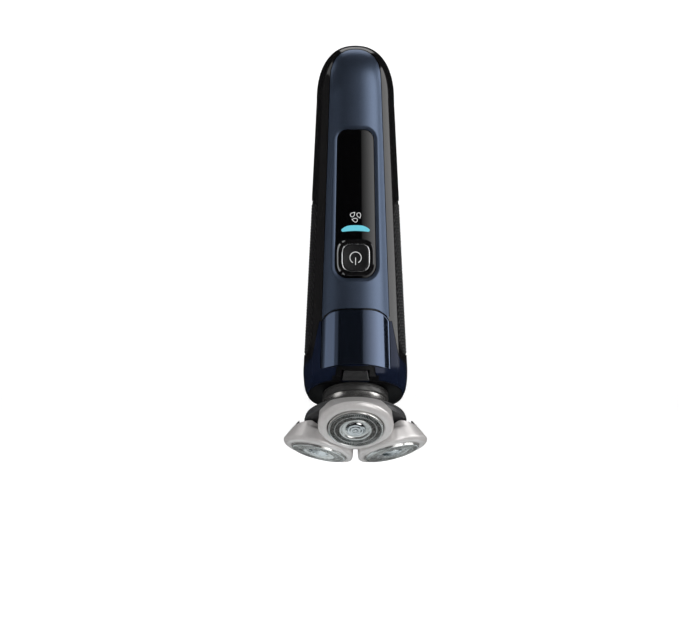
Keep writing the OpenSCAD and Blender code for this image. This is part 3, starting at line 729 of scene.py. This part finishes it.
def back_y(z):
    return centre_y(z) + half_d(z)


def pocket(grow, depth):
    """The trimmer's pocket at the back, grown by grow and depth deep."""
    low, high = POCKET_FOOT - grow, POCKET_TOP + grow
    shape = [(back_y(POCKET_FOOT) - depth, low), (30, low), (30, high), (back_y(POCKET_TOP) - depth, high)]
    loops = [[Vector((x, y, z)) for y, z in shape] for x in (-POCKET_HALF - grow, POCKET_HALF + grow)]
    return scratch("pocket", made(bridge, loops, caps=True))


def on_end(x, y, depth):
    return Vector((x, y, 150 - depth))


REAR_GRIP_W, REAR_GRIP_H, REAR_GRIP_R, REAR_GRIP_Z = 22.0, 25.0, 5.0, 25.0
SOCKET_PLACE = (10.2, 5.8, 2.7, 0, 4.5)
shell(
    "handle_rear_shell", SEAM_Y + GAP / 2, 60,
    take_away(
        pocket(0.0, POCKET_DEPTH),
        recess(
            rounded(REAR_GRIP_W + 2 * GAP, REAR_GRIP_H + 2 * GAP, REAR_GRIP_R + 0.1, 0, REAR_GRIP_Z),
            REAR_GRIP_SPINE, on_back,
        ),
        recess(rounded(9.5, 13.1, 3.0, 0, 104.3), ((0, 102), (0, 106)), on_back, depth=1.0),
        scratch("socket_hole", made(plate, rounded(*SOCKET_PLACE), ((-2, 4.5), (2, 4.5)), on_end, 30, edge=0.0)),
        *[rod((s * 7, 0, 32), (0, 1, 0), 30, 1.9) for s in (-1, 1)],
    ) + grip_cutters(),
    "rear_shell", pocket(1.3, POCKET_DEPTH + 1.2),
)

# The neck housing: navy outside; the matt black underneath and round the release tab is painted shade
TAB_PLACE = [(-7.6, 11), (-9, 2), (9, 2), (7.6, 11)]
RELEASE_Z = 7.1
housing = scratch("neck_housing_shell", handle_solid(edge=FORM_EDGE))
keep = prism_front(housing_outline(), 0.5)
cut(keep, [("UNION", block((-60, -0.5, -60), (60, 60, RIM_Z)))])
cut(
    housing,
    take_away(hollow_form()) + [("INTERSECT", keep)] + take_away(
        rod(HEAD @ Vector((0, 0, -9)), HEAD.to_3x3() @ Vector((0, 0, 1)), 18, 2.6),
        recess(cover_outline(GAP), COVER_RECESS_SPINE, on_front),
        recess(TAB_PLACE, ((0, 5), (0, 8)), on_front, depth=0.8),
        block((-5.6, -20, 3), (5.6, -11.4, 9.3)),
        rod((0, -11.6, RELEASE_Z), (0, 1, 0), 3.2, 1.6),
    ),
)
clean(housing)
true_normals(housing, outer_form)
dress(housing, "handle", [NAVY, SHADE_BLACK], ["neck_housing"])
to_head = HEAD.inverted()
# Painted shade: faces under the hood and faces sunk round the release tab take the matt black
for p in housing.data.polygons:
    c = p.center / MM
    by_tab = abs(c.x) < 9.2 and 1.9 < c.z < 11.1
    sunk = by_tab and on_front(c.x, max(c.z, WIDE_Z), 0.4).y < c.y < -12
    if sunk or (to_head @ c).z > 0.3:
        p.material_index = 1

# ---- Covers set into the handle ----
window_edge = [(1.75, 0.0), (1.55, 0.02), (1.3, 0.08), (0.35, 0.52), (0.15, 0.62), (0.04, 0.7), (0.0, 0.8)]
panel_corners = [(s * FOOT_HALF, FOOT_Z) for s in (1, -1)]
panel = made(
    plate, panel_outline(), PANEL_SPINE, on_front, SKIN, edge=0.28, rows=26, along=56, cap=60,
    hole=window_outline(GAP), hole_profile=window_edge, corners=panel_corners,
)
follow(add_object("front_panel_skin", panel, "handle", [SLATE], ["front_panel"], 50), on_front, 0.0)

cover_corners = [(s * FOOT_HALF, FOOT_Z - COVER_GAP) for s in (1, -1)]
cover_corners += [(s * COVER_HALF, COVER_FOOT_Z) for s in (1, -1)]
cover = made(
    plate, cover_outline(), ((0, 17), (0, 26)), on_front, SKIN, edge=0.35, rows=24, along=24, cap=70,
    corners=cover_corners,
)
follow(add_object("neck_cover_skin", cover, "handle", [MIRROR_BLUE], ["neck_cover"], 50), on_front, 0.0)

GLASS_TOP, LIGHT_TOP, PRINT_TOP = 0.62, 0.54, 0.58
SQUARE = 2.6
bm = made(plate, window_outline(), ((0, 55), (0, 98)), on_front, 0.7, edge=0.2, top=GLASS_TOP, rows=14, along=50)
pane = add_object("display_glass_pane", bm, "handle", [GLASS], ["display_window"], 50)
cut(pane, take_away(prism_front(rounded(14.4, 14.1, 5.3, 0, BUTTON_Z, power=SQUARE))))
clean(pane, 50)
follow(pane, on_front, GLASS_TOP)


def dash(bm, place, u, v, angle, length, width, low, high, index=0):
    """A short raised rib on a surface."""
    ca, sa = math.cos(angle), math.sin(angle)
    rows = []
    for i in range(6):
        s = -1 + 2 * i / 5
        w = width * (1 - abs(s) ** 3) ** 0.5 if abs(s) < 1 else width * 0.12
        line = []
        for t, h in ((-1, 0), (-0.72, 0.7), (0, 1), (0.72, 0.7), (1, 0)):
            a, b = s * length, t * w
            at = place(u + a * ca - b * sa, v + a * sa + b * ca, mix(low, high, h * (1 - s**4)))
            line.append(bm.verts.new(at))
        rows.append(line)
    faces = [rows[0][::-1], rows[-1]]
    for p, q in zip(rows, rows[1:]):
        faces += [(p[j], p[j + 1], q[j + 1], q[j]) for j in range(4)] + [(p[4], p[0], q[0], q[4])]
    for face in faces:
        bm.faces.new(face).material_index = index


def inside(outline, u, v):
    hit = False
    for i, (bx, by) in enumerate(outline):
        ax, ay = outline[i - 1]
        if (ay > v) != (by > v) and u < (bx - ax) * (v - ay) / (by - ay) + ax:
            hit = not hit
    return hit


RIB_PITCH, RIB_SIZE = (1.7, 2.4), (0.78, 0.27)


def ribbed(name, outline, spine, place, node, lean, along, cap):
    """A rubber pad with staggered rows of small ribs."""
    bm = made(plate, outline, spine, place, SKIN - 0.3, edge=0.3, top=0.3, rows=10, along=along, cap=cap)
    us, vs = zip(*outline)
    inner = [tuple(p) for p in shrink([Vector(p) for p in outline], 0.85)]
    row = 0
    v = min(vs)
    while v < max(vs):
        u = min(us) + (row % 2) * RIB_PITCH[0] / 2
        while u < max(us):
            if inside(inner, u, v):
                dash(bm, place, u, v, math.radians(lean), *RIB_SIZE, 0.36, 0.0, 1)
            u += RIB_PITCH[0]
        v += RIB_PITCH[1] / 2
        row += 1
    add_object(name, bm, "handle", [RUBBER, RIB], [node], 40)


for sign, side in SIDES:
    ribbed(f"side_grip_{side}", grip_outline(), GRIP_SPINE, on_side(sign), f"grip_{side}", 62, 40, 26)
rear_grip = rounded(REAR_GRIP_W, REAR_GRIP_H, REAR_GRIP_R, 0, REAR_GRIP_Z)
ribbed("rear_grip_pad", rear_grip, REAR_GRIP_SPINE, on_back, "rear_grip", 35, 20, 30)

# The light bar: an arched crescent with rounded lower ends
BAR_HALF = 5.2
across = [-BAR_HALF + 2 * BAR_HALF * k / 24 for k in range(25)]


def bar_end(x, *degrees):
    return [(x + 0.5 * math.cos(a), 65.0 + 0.55 * math.sin(a)) for a in map(math.radians, degrees)]


crescent = [(x, 66.95 - 1.75 * abs(x / 5.7) ** 3.2) for x in across[::-1]]
crescent += bar_end(-BAR_HALF, 115, 140, 165, 190, 215, 240)
crescent += [(x, 64.65 - 0.45 * (x / 5.7) ** 2) for x in across]
crescent += bar_end(BAR_HALF, -60, -35, -10, 15, 40, 65)
bar = made(
    plate, crescent, ((-3.4, 65.2), (3.4, 65.2)), on_front, 0.7, edge=0.12, top=LIGHT_TOP, rows=6, along=30, cap=14
)
add_object("display_light_bar", bar, "handle", [TEAL], ["light_bar"], 50)


def tube(bm, points, r, closed=False):
    """A round tube through points, with its ends shut."""
    n = len(points)
    loops = []
    for i, p in enumerate(points):
        a = points[(i - 1) % n] if closed or i else points[0]
        b = points[(i + 1) % n] if closed or i < n - 1 else points[-1]
        t = (b - a).normalized()
        s = t.cross(Vector((0, 1, 0))).normalized()
        up = s.cross(t).normalized()
        loops.append([p + s * c.x + up * c.y for c in circle(r, 0, 8)])
    bridge(bm, loops, closed=closed, caps=not closed)


def drop(cx, cz, turn, size):
    """Points of a drop's outline on the display."""
    out = []
    ca, sa = math.cos(turn), math.sin(turn)
    for k in range(28):
        a = 2 * PI * k / 28
        x, y = size * math.sin(a) * (0.74 - 0.26 * math.cos(a)), size * math.cos(a)
        if y > 0:
            x *= 1 - (y / size) ** 2.2 * 0.9
            y *= 1.28
        out.append(on_front(cx + x * ca - y * sa, cz + x * sa + y * ca, PRINT_TOP))
    return out


bm = bmesh.new()
for cx, cz, turn in ((-1.15, 71.2, -0.75), (1.35, 70.9, 3.5), (-0.25, 69.0, 1.35)):
    tube(bm, drop(cx, cz, turn, 0.98), 0.10, closed=True)
add_object("display_drops_icon", bm, "handle", [PRINT], ())

# ---- Power button ----
BUTTON_SPINE = ((0, BUTTON_Z - 1), (0, BUTTON_Z + 1))
CAP_Y, TURN_BACK = -15.2, Matrix.Rotation(-PI / 2, 4, "X")


def square(w, h, r):
    return rounded(w, h, r, 0, BUTTON_Z, power=SQUARE)


def dish(x, z):
    """How far the middle of the button lies below its edge."""
    return 0.28 * (1 - min(1.0, (x * x + (z - BUTTON_Z) ** 2) / 28))


bezel = add_object(
    "power_button_bezel",
    made(
        plate, square(15, 14.7, 5.6), BUTTON_SPINE, on_plane(-14.95), 1.8, rows=5, along=10, cap=60,
        edge_profile=[(0.0, 0.95), (0.02, 0.66), (0.12, 0.5), (1.25, 0.06), (1.45, 0.0)],
        hole=square(11.7, 11.7, 4.4), hole_profile=[(1.05, 0.0), (0.85, 0.04), (0.5, 0.22), (0.15, 0.5), (0.0, 0.75)],
    ),
    "handle", [BLACK, BEZEL_HIGHLIGHT], ["button_bezel"], 60,
)
# Painted highlight: the bezel's slope that faces left takes a bright chrome in place of a reflected light
for p in bezel.data.polygons:  # painted highlight: a bright chrome on the side that faces left
    reach = max(abs(p.center.x), abs(p.center.z - BUTTON_Z * MM)) / MM
    if reach > 6.0 and -0.98 < p.normal.y < -0.8 and p.normal.x < -0.1:
        p.material_index = 1

button_ring = made(
    plate, square(11.3, 11.3, 4.2), BUTTON_SPINE, on_plane(-15.3), 1.1, edge=0.2, rows=2, along=10, cap=60,
    hole=square(10.4, 10.4, 3.8), hole_profile=[(0.14, 0.0), (0.04, 0.05), (0.0, 0.2)],
)
add_object("power_button_ring", button_ring, "power_button", [CHROME], ["button_ring"], 60)

bm = made(
    plate, square(10.3, 10.3, 3.7), BUTTON_SPINE, on_plane(CAP_Y), 1.05, edge=0.25, rows=14, along=10, cap=60,
    crown=dish,
)
spin(bm, rod_profile(2, 3), Matrix.Translation((0, -14.4, BUTTON_Z)) @ TURN_BACK, 48)
add_object("power_button_cap", bm, "power_button", [BUTTON], ["power_button"], 50)

SYMBOL_Y, SYMBOL_R, SYMBOL_LINE = CAP_Y + 0.2, 2.25, 0.115
arc = []
for k in range(33):
    a = math.radians(-62 + 304 * k / 32)
    arc.append(Vector((SYMBOL_R * math.cos(a), SYMBOL_Y, BUTTON_Z + SYMBOL_R * math.sin(a))))
bm = made(tube, arc, SYMBOL_LINE)
tube(bm, [Vector((0, SYMBOL_Y, BUTTON_Z + z)) for z in (0.1, -1.2, -2.9)], SYMBOL_LINE)
add_object("power_button_symbol", bm, "power_button", [PRINT], ())

# ---- Release tab and its spring ----
tab = [(-4.7, 9.1), (-5.4, 5.1), (5.4, 5.1), (4.7, 9.1)]
bm = made(
    plate, tab, ((-2.5, 7), (2.5, 7)), on_plane(-15.4), 2.8, edge=0.3, rows=8, along=20, cap=24, corners=tab,
    crown=lambda x, z: 0.3 * ease((z - 5.9) / 0.5) - 0.15 * ease((z - 8) / 1.0),
)
arrow = [Vector((x, -15.02, z)) for x, z in ((0, 6.7), (0.75, 7.5), (-0.75, 7.5))]
bridge(bm, [[p + Vector((0, y, 0)) for p in arrow] for y in (0.25, -0.14)], caps=True)
spin(bm, rod_profile(0.95, 0.9), Matrix.Translation((0, -12.8, RELEASE_Z)) @ TURN_BACK, 32)
add_object("release_tab", bm, "release_button", [TAB], ["release_button"], 40)

COIL_R, COIL_WIRE, COIL_Y, COIL_LENGTH, COIL_TURNS, COIL_STEPS = 1.3, 0.2, -12.3, 3.6, 4, 128
coil = []
for k in range(COIL_STEPS + 1):
    a = 2 * PI * COIL_TURNS * k / COIL_STEPS
    y = COIL_Y + COIL_LENGTH * k / COIL_STEPS
    coil.append(Vector((COIL_R * math.cos(a), y, RELEASE_Z + COIL_R * math.sin(a))))
wire = []
for k, p in enumerate(coil):
    t = (coil[min(k + 1, COIL_STEPS)] - coil[max(k - 1, 0)]).normalized()
    out = (p - Vector((0, p.y, RELEASE_Z))).normalized()
    side = t.cross(out).normalized()
    wire.append([p + (out * c.x + side * c.y) * COIL_WIRE for c in circle(1, 0, 8)])
spring = add_object(
    "release_spring_coil", made(bridge, wire, caps=True), "handle", [STEEL], ["release_spring"], 60
)
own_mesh(spring)

# ---- Neck ----
collar = [(10.5, 0.6), (12.5, 0.6), (12.9, 0.75), (13.15, 1.1), (13.2, 1.6), (13.2, 1.9), (12.95, 2.0)]
collar += [(12.95, 2.3), (13.2, 2.4), (13.2, 3.5), (13.1, 3.9), (12.85, 4.2), (12.5, 4.3), (10.5, 4.3)]
add_object(
    "neck_collar_ring", made(spin, collar, HEAD, 128), "handle", [COLLAR], ["neck_collar"], 30
)
dome = [(10.6, 6.8), (10.6, 4.42), (12.6, 4.42), (12.95, 4.5)]
for k in range(1, 11):
    a = PI / 2 * k / 10
    dome.append((12.95 + 1.95 * (1 - math.cos(a)) ** 0.9, 4.5 + 4.15 * math.sin(a)))
dome += [(14.9, 8.8), (2.2, 8.8), (2.2, 6.8)]
add_object("neck_silver_dome", made(spin, dome, HEAD, 128), "handle", [SILVER], ["neck_dome"], 40)

# ---- Trimmer at the back ----
AXIS_Z = 92.0
AXIS_Y = back_y(AXIS_Z) - POCKET_DEPTH + 1.9
LID_GAP = 0.4
door = scratch("trimmer_door", handle_solid(edge=FORM_EDGE))
lid, zone = pocket(-LID_GAP, POCKET_DEPTH - 0.3), block((-60, -60, 46), (60, 60, AXIS_Z + 0.6))
cut(door, [("INTERSECT", lid), ("INTERSECT", zone)])
hinge = rod((-POCKET_HALF + LID_GAP, AXIS_Y, AXIS_Z), (1, 0, 0), 2 * (POCKET_HALF - LID_GAP), 1.6)
teeth, pin = block((-7.6, 14.8, 45), (7.6, 16.3, 51.6)), rod((-15, AXIS_Y, AXIS_Z), (1, 0, 0), 30, 0.76)
lines = []
for z in (54, 55.8, 57.6, 59.4):
    bm = made(plate, rounded(12.4, 0.7, 0.34, 0, z), ((-4, z), (4, z)), on_back, 0.85, edge=0.0, top=-0.5, rows=3)
    lines.append(scratch("line", bm))
cut(door, [("UNION", hinge)] + take_away(teeth, pin, *lines))
clean(door)
true_normals(door, outer_form)
dress(door, "trimmer", [TRIMMER], ["trimmer_housing"])

bm = made(
    plate, rounded(9, 9, 3, 0, 102.7), ((0, 101), (0, 104)), on_back, 1.0, edge=0.35, top=-0.2, rows=10, along=12,
    cap=30,
)
for z in (100.2, 101.4, 102.6, 103.8, 105.0):
    dash(bm, on_back, 0, z, 0.0, 2.9, 0.32, -0.1, -0.66)
add_object("trimmer_slider_knob", bm, "trimmer_slider", [SLIDER], ["trimmer_slider"], 40)

# ---- Head: petals, guards and caps ----
LEGS = [HEAD @ Matrix.Rotation(2 * PI * i / 3, 4, "Z") for i in range(3)]
FACE = Matrix.Translation((0, PETAL_R, PETAL_H)) @ Matrix.Rotation(-PETAL_TILT, 4, "X")
TURNS, FOOT_BLEND = 120, 3
PETAL_WALL, PETAL_GAP, HINGE_GAP = 1.3, 0.8, 3.5
# A petal's levels: the centre's distance and height, the tilt and the radius
LEVELS = [(8.4, 11.5, 0.0, 15.2), (13.2, 14.4, 0.0, 14.5), (16.48, 20.55, PETAL_TILT, 15.0)]


def petal_point(i, theta, cy, cz, tilt, r, inset):
    """A point at an angle round one level of a petal, held between its two gap planes."""
    sharp = 16.0
    way = Vector((math.cos(theta), math.sin(theta) * math.cos(tilt), -math.sin(theta) * math.sin(tilt)))
    total = (r - inset) ** -sharp
    for s in (1, -1):
        gap = PETAL_GAP + inset * 0.95
        by_hinge = (i == 1 and s == 1) or (i == 2 and s == -1)
        if by_hinge:
            gap = mix(HINGE_GAP + inset, gap, ease((cz - 16.4) / 1.6))
        reach = (cy - gap / math.sin(PI / 3)) * math.cos(PI / 6)
        speed = s * way.x * math.sin(PI / 6) - way.y * math.cos(PI / 6)
        if speed > 1e-6:
            total += (reach / speed) ** -sharp
    rho = total ** (-1 / sharp)
    return Vector((0, cy, cz)) + way * rho


def petal_wall(i, theta, t, inset):
    """The wall from the skirt's foot, t = 0, up to the rim, t = 1."""
    first, second, third = LEVELS
    before, after = ([2 * a - b for a, b in zip(end, second)] for end in (first, third))
    keys = [before, first, second, third, after]
    k = 0 if t < 0.5 else 1
    return petal_point(i, theta, *curve_through(*keys[k : k + 4], t * 2 - k), inset)


def foot_heights(i, angles, inset):
    """The height of the wall's foot all round, with no step: over the frame's arms, over the gear case, beside it."""
    over_arms, over_case, beside_case = 16.8, 14.45, 11.6
    heights = []
    for theta in angles:
        low = petal_wall(i, theta, 0.35, inset)
        reach = math.hypot(low.x, low.y)
        inner = mix(over_arms, over_case, ease((reach - 10.9) / 1.0))
        heights.append(mix(inner, beside_case, ease((reach - 22.6) / 0.8)))
    near = range(-FOOT_BLEND, FOOT_BLEND + 1)
    highest = [max(heights[(k + d) % TURNS] for d in near) for k in range(TURNS)]
    return [sum(highest[(k + d) % TURNS] for d in near) / len(near) for k in range(TURNS)]


def petal_foot(i, theta, inset, z):
    """How far up the wall a height lies."""
    a, b = 0.0, 1.0
    for _ in range(18):
        t = (a + b) / 2
        if petal_wall(i, theta, t, inset).z < z:
            a = t
        else:
            b = t
    return (a + b) / 2


def petal_mesh(bm, i):
    """Loops of points up the wall, over the rim, down the cutter's bore and back down inside the wall."""
    angles = [2 * PI * k / TURNS + PI / 2 for k in range(TURNS)]

    def wall_loops(inset, shares):
        feet = [petal_foot(i, a, inset, z) for a, z in zip(angles, foot_heights(i, angles, inset))]
        return [[petal_wall(i, a, mix(f, 1, t), inset) for a, f in zip(angles, feet)] for t in shares]

    def level_loop(w, r, inset):
        cy, cz = PETAL_R + w * math.sin(PETAL_TILT), PETAL_H + w * math.cos(PETAL_TILT)
        return [petal_point(i, a, cy, cz, PETAL_TILT, r, inset) for a in angles]

    def bore_loop(r, w):
        return [FACE @ Vector((r * math.cos(a), r * math.sin(a), w)) for a in angles]

    loops = wall_loops(0.0, [k / 14 for k in range(15)])
    for k in range(1, 9):
        a = PI / 2 * k / 8
        loops.append(level_loop(-1.9 + 1.9 * math.sin(a), 13.7 + 1.3 * math.cos(a), 1.3 * (1 - math.cos(a)) * 0.7))
    rim_top, ring_top = loops[-1], bore_loop(11.85, 0.0)
    loops += [[p.lerp(q, k / 4) for p, q in zip(rim_top, ring_top)] for k in range(1, 5)]
    bore = [(11.55, -0.05), (11.38, -0.18), (BORE_R, -0.4), (BORE_R, -4.8), (BORE_R + 1, -4.8), (BORE_R + 1, -1.7)]
    loops += [bore_loop(r, w) for r, w in bore]
    loops.append(level_loop(-1.7, 13.9, 0.75))
    loops += wall_loops(PETAL_WALL, [1 - k / 10 for k in range(11)])
    bridge(bm, [[LEGS[i] @ p for p in loop] for loop in loops], closed=True)
    for s in (-1, 1):
        pin = LEGS[i] @ Matrix.Translation((s * 10.5, 14.2, 15)) @ Matrix.Rotation(PI / 2, 4, "Y")
        spin(bm, [(0, -3.2), (0.8, -3.2), (0.8, 3.2), (0, 3.2)], pin, 24)


GUARD_RIM = [(10.25, 0.4), (10.25, 0.78), (10.36, 0.9), (10.6, 0.9), (10.88, 0.74), (GUARD_R, 0.45)]
GUARD_RIM += [(GUARD_R, -3), (10.4, -3), (10.4, 0.3)]
GUARD_HUB = [(6.5, 0.38), (6.5, 0.82), (6.42, 0.9), (6.1, 0.9), (5.9, 0.82), (5.3, 0.24), (5.1, 0.2)]
GUARD_HUB += [(2.1, 0.2), (2.1, -0.3), (5.6, -0.3), (6, 0.38)]
GUARD_MIDDLE = [(8.22, 0.45), (8.22, 0.84), (8.28, 0.88), (8.46, 0.88), (8.52, 0.84), (8.52, 0.45)]
FINS, FIN_SKEW = 84, 0.035
# Two rows of fins: inner and outer radius, half thickness, and the turn in fin pitches
FIN_ROWS = ((6.45, 8.3, 0.075, 0.0), (8.45, 10.3, 0.10, 0.5))


def guard_mesh(bm, at):
    for profile in (GUARD_RIM, GUARD_HUB, GUARD_MIDDLE):
        spin(bm, profile, at, 120)
    for k in range(FINS):
        for r_low, r_high, t, shift in FIN_ROWS:
            a0 = 2 * PI * (k + shift) / FINS
            section = [(-t, 0.42), (t, 0.42), (t * 0.85, 0.84), (0, 0.88), (-t * 0.85, 0.84)]
            ends = []
            for r, a in ((r_low, a0 - FIN_SKEW), (r_high, a0 + FIN_SKEW)):
                out, across = Vector((math.cos(a), math.sin(a), 0)), Vector((-math.sin(a), math.cos(a), 0))
                ends.append([at @ (out * r + across * x + Vector((0, 0, h))) for x, h in section])
            bridge(bm, ends, caps=True)


CAP = [(0, 1.28), (0.7, 1.24), (0.95, 1.1), (1.15, 1.02), (1.35, 1.1), (1.5, 1.2), (2.2, 1.14), (2.4, 1.02)]
CAP += [(2.6, 0.94), (2.8, 0.98), (3.0, 1.04), (3.5, 0.9), (3.85, 0.7), (4.05, 0.48), (4.1, 0.25)]
CAP += [(2.05, 0.25), (2.05, -0.6), (0, -0.6)]
for i, leg in enumerate(LEGS):
    n, face = i + 1, leg @ FACE
    guard = made(guard_mesh, face)
    add_object(f"petal_cover_{n}", made(petal_mesh, i), f"petal_{n}", [PETAL], [f"petal_{n}"], 55)
    add_object(f"cutter_guard_ring_{n}", guard, f"guard_{n}", [GUARD], [f"cutter_guard_{n}"], 30)
    add_object(f"guard_cap_{n}", made(spin, CAP, face), f"guard_{n}", [CHROME], [f"centre_cap_{n}"], 50)

# ---- CAD nodes that stay, with their finishes ----
FINISH = {
    "button_seal": SEAL, "power_switch": WHITE_PLASTIC, "main_board": BOARD, "chassis": CHASSIS,
    "battery_cell": WRAP, "battery_tabs": NICKEL, "motor_can": MOTOR, "drive_shaft": STEEL,
    "charging_socket": SOCKET, "charge_pins": BRASS, "neck_seal": SEAL, "body_screws": SCREW,
    "trimmer_comb": BLADE, "trimmer_blade": BLADE, "trimmer_hinge_pin": STEEL,
    "gear_case": DARK_GREY, "gear_cover": DARK_GREY, "sun_gear": GEAR, "head_frame": FRAME_BLACK,
    "head_hinge_pin": STEEL, "planet_gear": GEAR, "drive_spindle": SPINDLE, "inner_cutter": CUTTER_DARK,
    "retaining_ring": DARK_GREY,
}
for name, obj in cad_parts.items():
    finish = FINISH.get(name.rstrip("_123"))
    if finish:
        obj.data.materials.clear()
        obj.data.materials.append(finish)
bpy.data.objects.remove(outer_form)

# ---- Floor, light and camera ----
FLOOR_Z = -0.080


def stage_shader():
    m, node, link, base = new_material("studio_pale")
    noise = node("ShaderNodeTexNoise")
    put(noise.inputs, {"Scale": 3})
    ramp = node("ShaderNodeValToRGB")
    set_ramp(ramp, (0, (0.84, 0.84, 0.845)), (1, (0.88, 0.88, 0.88)))
    link(noise.outputs["Fac"], ramp.inputs["Fac"])
    link(ramp.outputs["Color"], base["Base Color"])
    put(base, {"Roughness": 0.7, "Emission Color": (1, 1, 1, 1), "Emission Strength": 0.45})
    return m


def glow_shader(name, pattern, settings, low, high, strength):
    """Light from a texture of the object's place, through a ramp."""
    m, node, link, base = new_material(name)
    place = node("ShaderNodeTexCoord")
    texture = node(pattern)
    for key, value in settings.items():
        if key in texture.inputs:
            texture.inputs[key].default_value = value
        else:
            setattr(texture, key, value)
    link(place.outputs["Object"], texture.inputs["Vector"])
    ramp = node("ShaderNodeValToRGB")
    set_ramp(ramp, low, high)
    link(texture.outputs["Fac"], ramp.inputs["Fac"])
    link(ramp.outputs["Color"], base["Emission Color"])
    put(base, {"Base Color": (0, 0, 0, 1), "Emission Strength": strength})
    return m, base


def stage_object(name, bm, material):
    part = linked(name, bm)
    part.data.materials.append(material)
    return part


def stage_disc(name, profile, material, z):
    part = stage_object(name, made(bridge, [circle(r, z + h, 96) for r, h in profile]), material)
    for p in part.data.polygons:
        p.use_smooth = True
    return part


def key_card(name, first, last, low, high, material):
    """An upright curved card round the shaver, between two angles from the front."""
    radius = 1.1
    bm = bmesh.new()
    rows = []
    for k in range(25):
        a = math.radians(mix(first, last, k / 24))
        rows.append([bm.verts.new((radius * math.sin(a), -radius * math.cos(a), h)) for h in (low, high)])
    for p, q in zip(rows, rows[1:]):
        bm.faces.new((p[0], q[0], q[1], p[1]))
    stage_object(name, bm, material).visible_camera = False


bowl = [(2.2 + 0.8 * math.sin(PI / 2 * k / 10), 0.8 * (1 - math.cos(PI / 2 * k / 10))) for k in range(1, 11)]
floor_profile = [(0.00001, 0.0), (1.0, 0.0), (2.2, 0.0)] + bowl + [(3.0, 3.0)]
floor = stage_disc("studio_floor", floor_profile, stage_shader(), FLOOR_Z)
floor.visible_glossy = False

# A mottled glow under the head that only shiny pieces see, in place of the wet tray in the photo
reflector, _ = glow_shader(
    "studio_reflector", "ShaderNodeTexNoise", {"Scale": 110, "Detail": 2},
    (0.42, (0.02, 0.03, 0.033)), (0.62, (0.62, 0.68, 0.70)), 1.0,
)
card = stage_disc("studio_card", [(0.00001, 0.0), (0.02, 0.0), (0.034, 0.0)], reflector, CAD_BOX[0].z - 0.001)
card.visible_camera = card.visible_diffuse = card.visible_shadow = card.visible_transmission = False

# Two curved cards at the right, whose light grows between two angles from the front
KEY_FROM, KEY_FULL = 7, 36
key, key_base = glow_shader(
    "studio_key", "ShaderNodeTexGradient", {"gradient_type": "RADIAL"},
    (0.25 + KEY_FROM / 360, (0.11, 0.11, 0.11)), (0.25 + KEY_FULL / 360, (1, 1, 1)), 2.9,
)
put(key_base, {"Specular IOR Level": 0})
key_card("studio_key_front", KEY_FROM, 49, -0.6, 0.85, key)
key_card("studio_key_side", 62, 102, 0.0, 0.85, key)


def soft_light(name, azimuth, height, distance, width, tall, power, colour=(1, 1, 1)):
    """An area light at an angle from the camera's direction, positive to the right."""
    data = bpy.data.lights.new(name, "AREA")
    data.shape, data.size, data.size_y, data.energy, data.color = "RECTANGLE", width, tall, power, colour
    light = bpy.data.objects.new(name, data)
    a = math.radians(azimuth)
    light.location = (distance * math.sin(a), -distance * math.cos(a), height)
    aim = Vector((0, 0, 0.04)) - light.location
    light.rotation_euler = aim.to_track_quat("-Z", "Y").to_euler()
    light.visible_camera = False
    bpy.context.scene.collection.objects.link(light)


COOL = (0.92, 0.96, 1.0)
soft_light("fill_left", -42, 0.03, 1.3, 0.55, 0.14, 0.2, COOL)
soft_light("fill_edge", -41, 0.03, 1.3, 0.84, 0.14, 0.13, COOL)
soft_light("dim_left", -82, 0.10, 1.1, 1.0, 1.0, 0.25)
soft_light("side_left", -86, 0.80, 1.0, 0.6, 0.4, 0.9)
soft_light("top", 175, 1.45, 0.55, 1.2, 1.2, 9)
world = bpy.data.worlds.new("studio_air")
world.use_nodes = True
world.node_tree.nodes["Background"].inputs["Color"].default_value = (0.015, 0.015, 0.016, 1)
bpy.context.scene.world = world
bpy.context.scene.view_settings.view_transform = "Standard"

camera_data = bpy.data.cameras.new("camera")
camera_data.lens, camera_data.sensor_width = 163, 36
camera_data.shift_y = -0.040
camera = bpy.data.objects.new("camera", camera_data)
camera.location = (-0.0062, -1.24, 0.042)
camera.rotation_euler = (PI / 2, 0, 0)
bpy.context.scene.collection.objects.link(camera)
bpy.context.scene.camera = camera
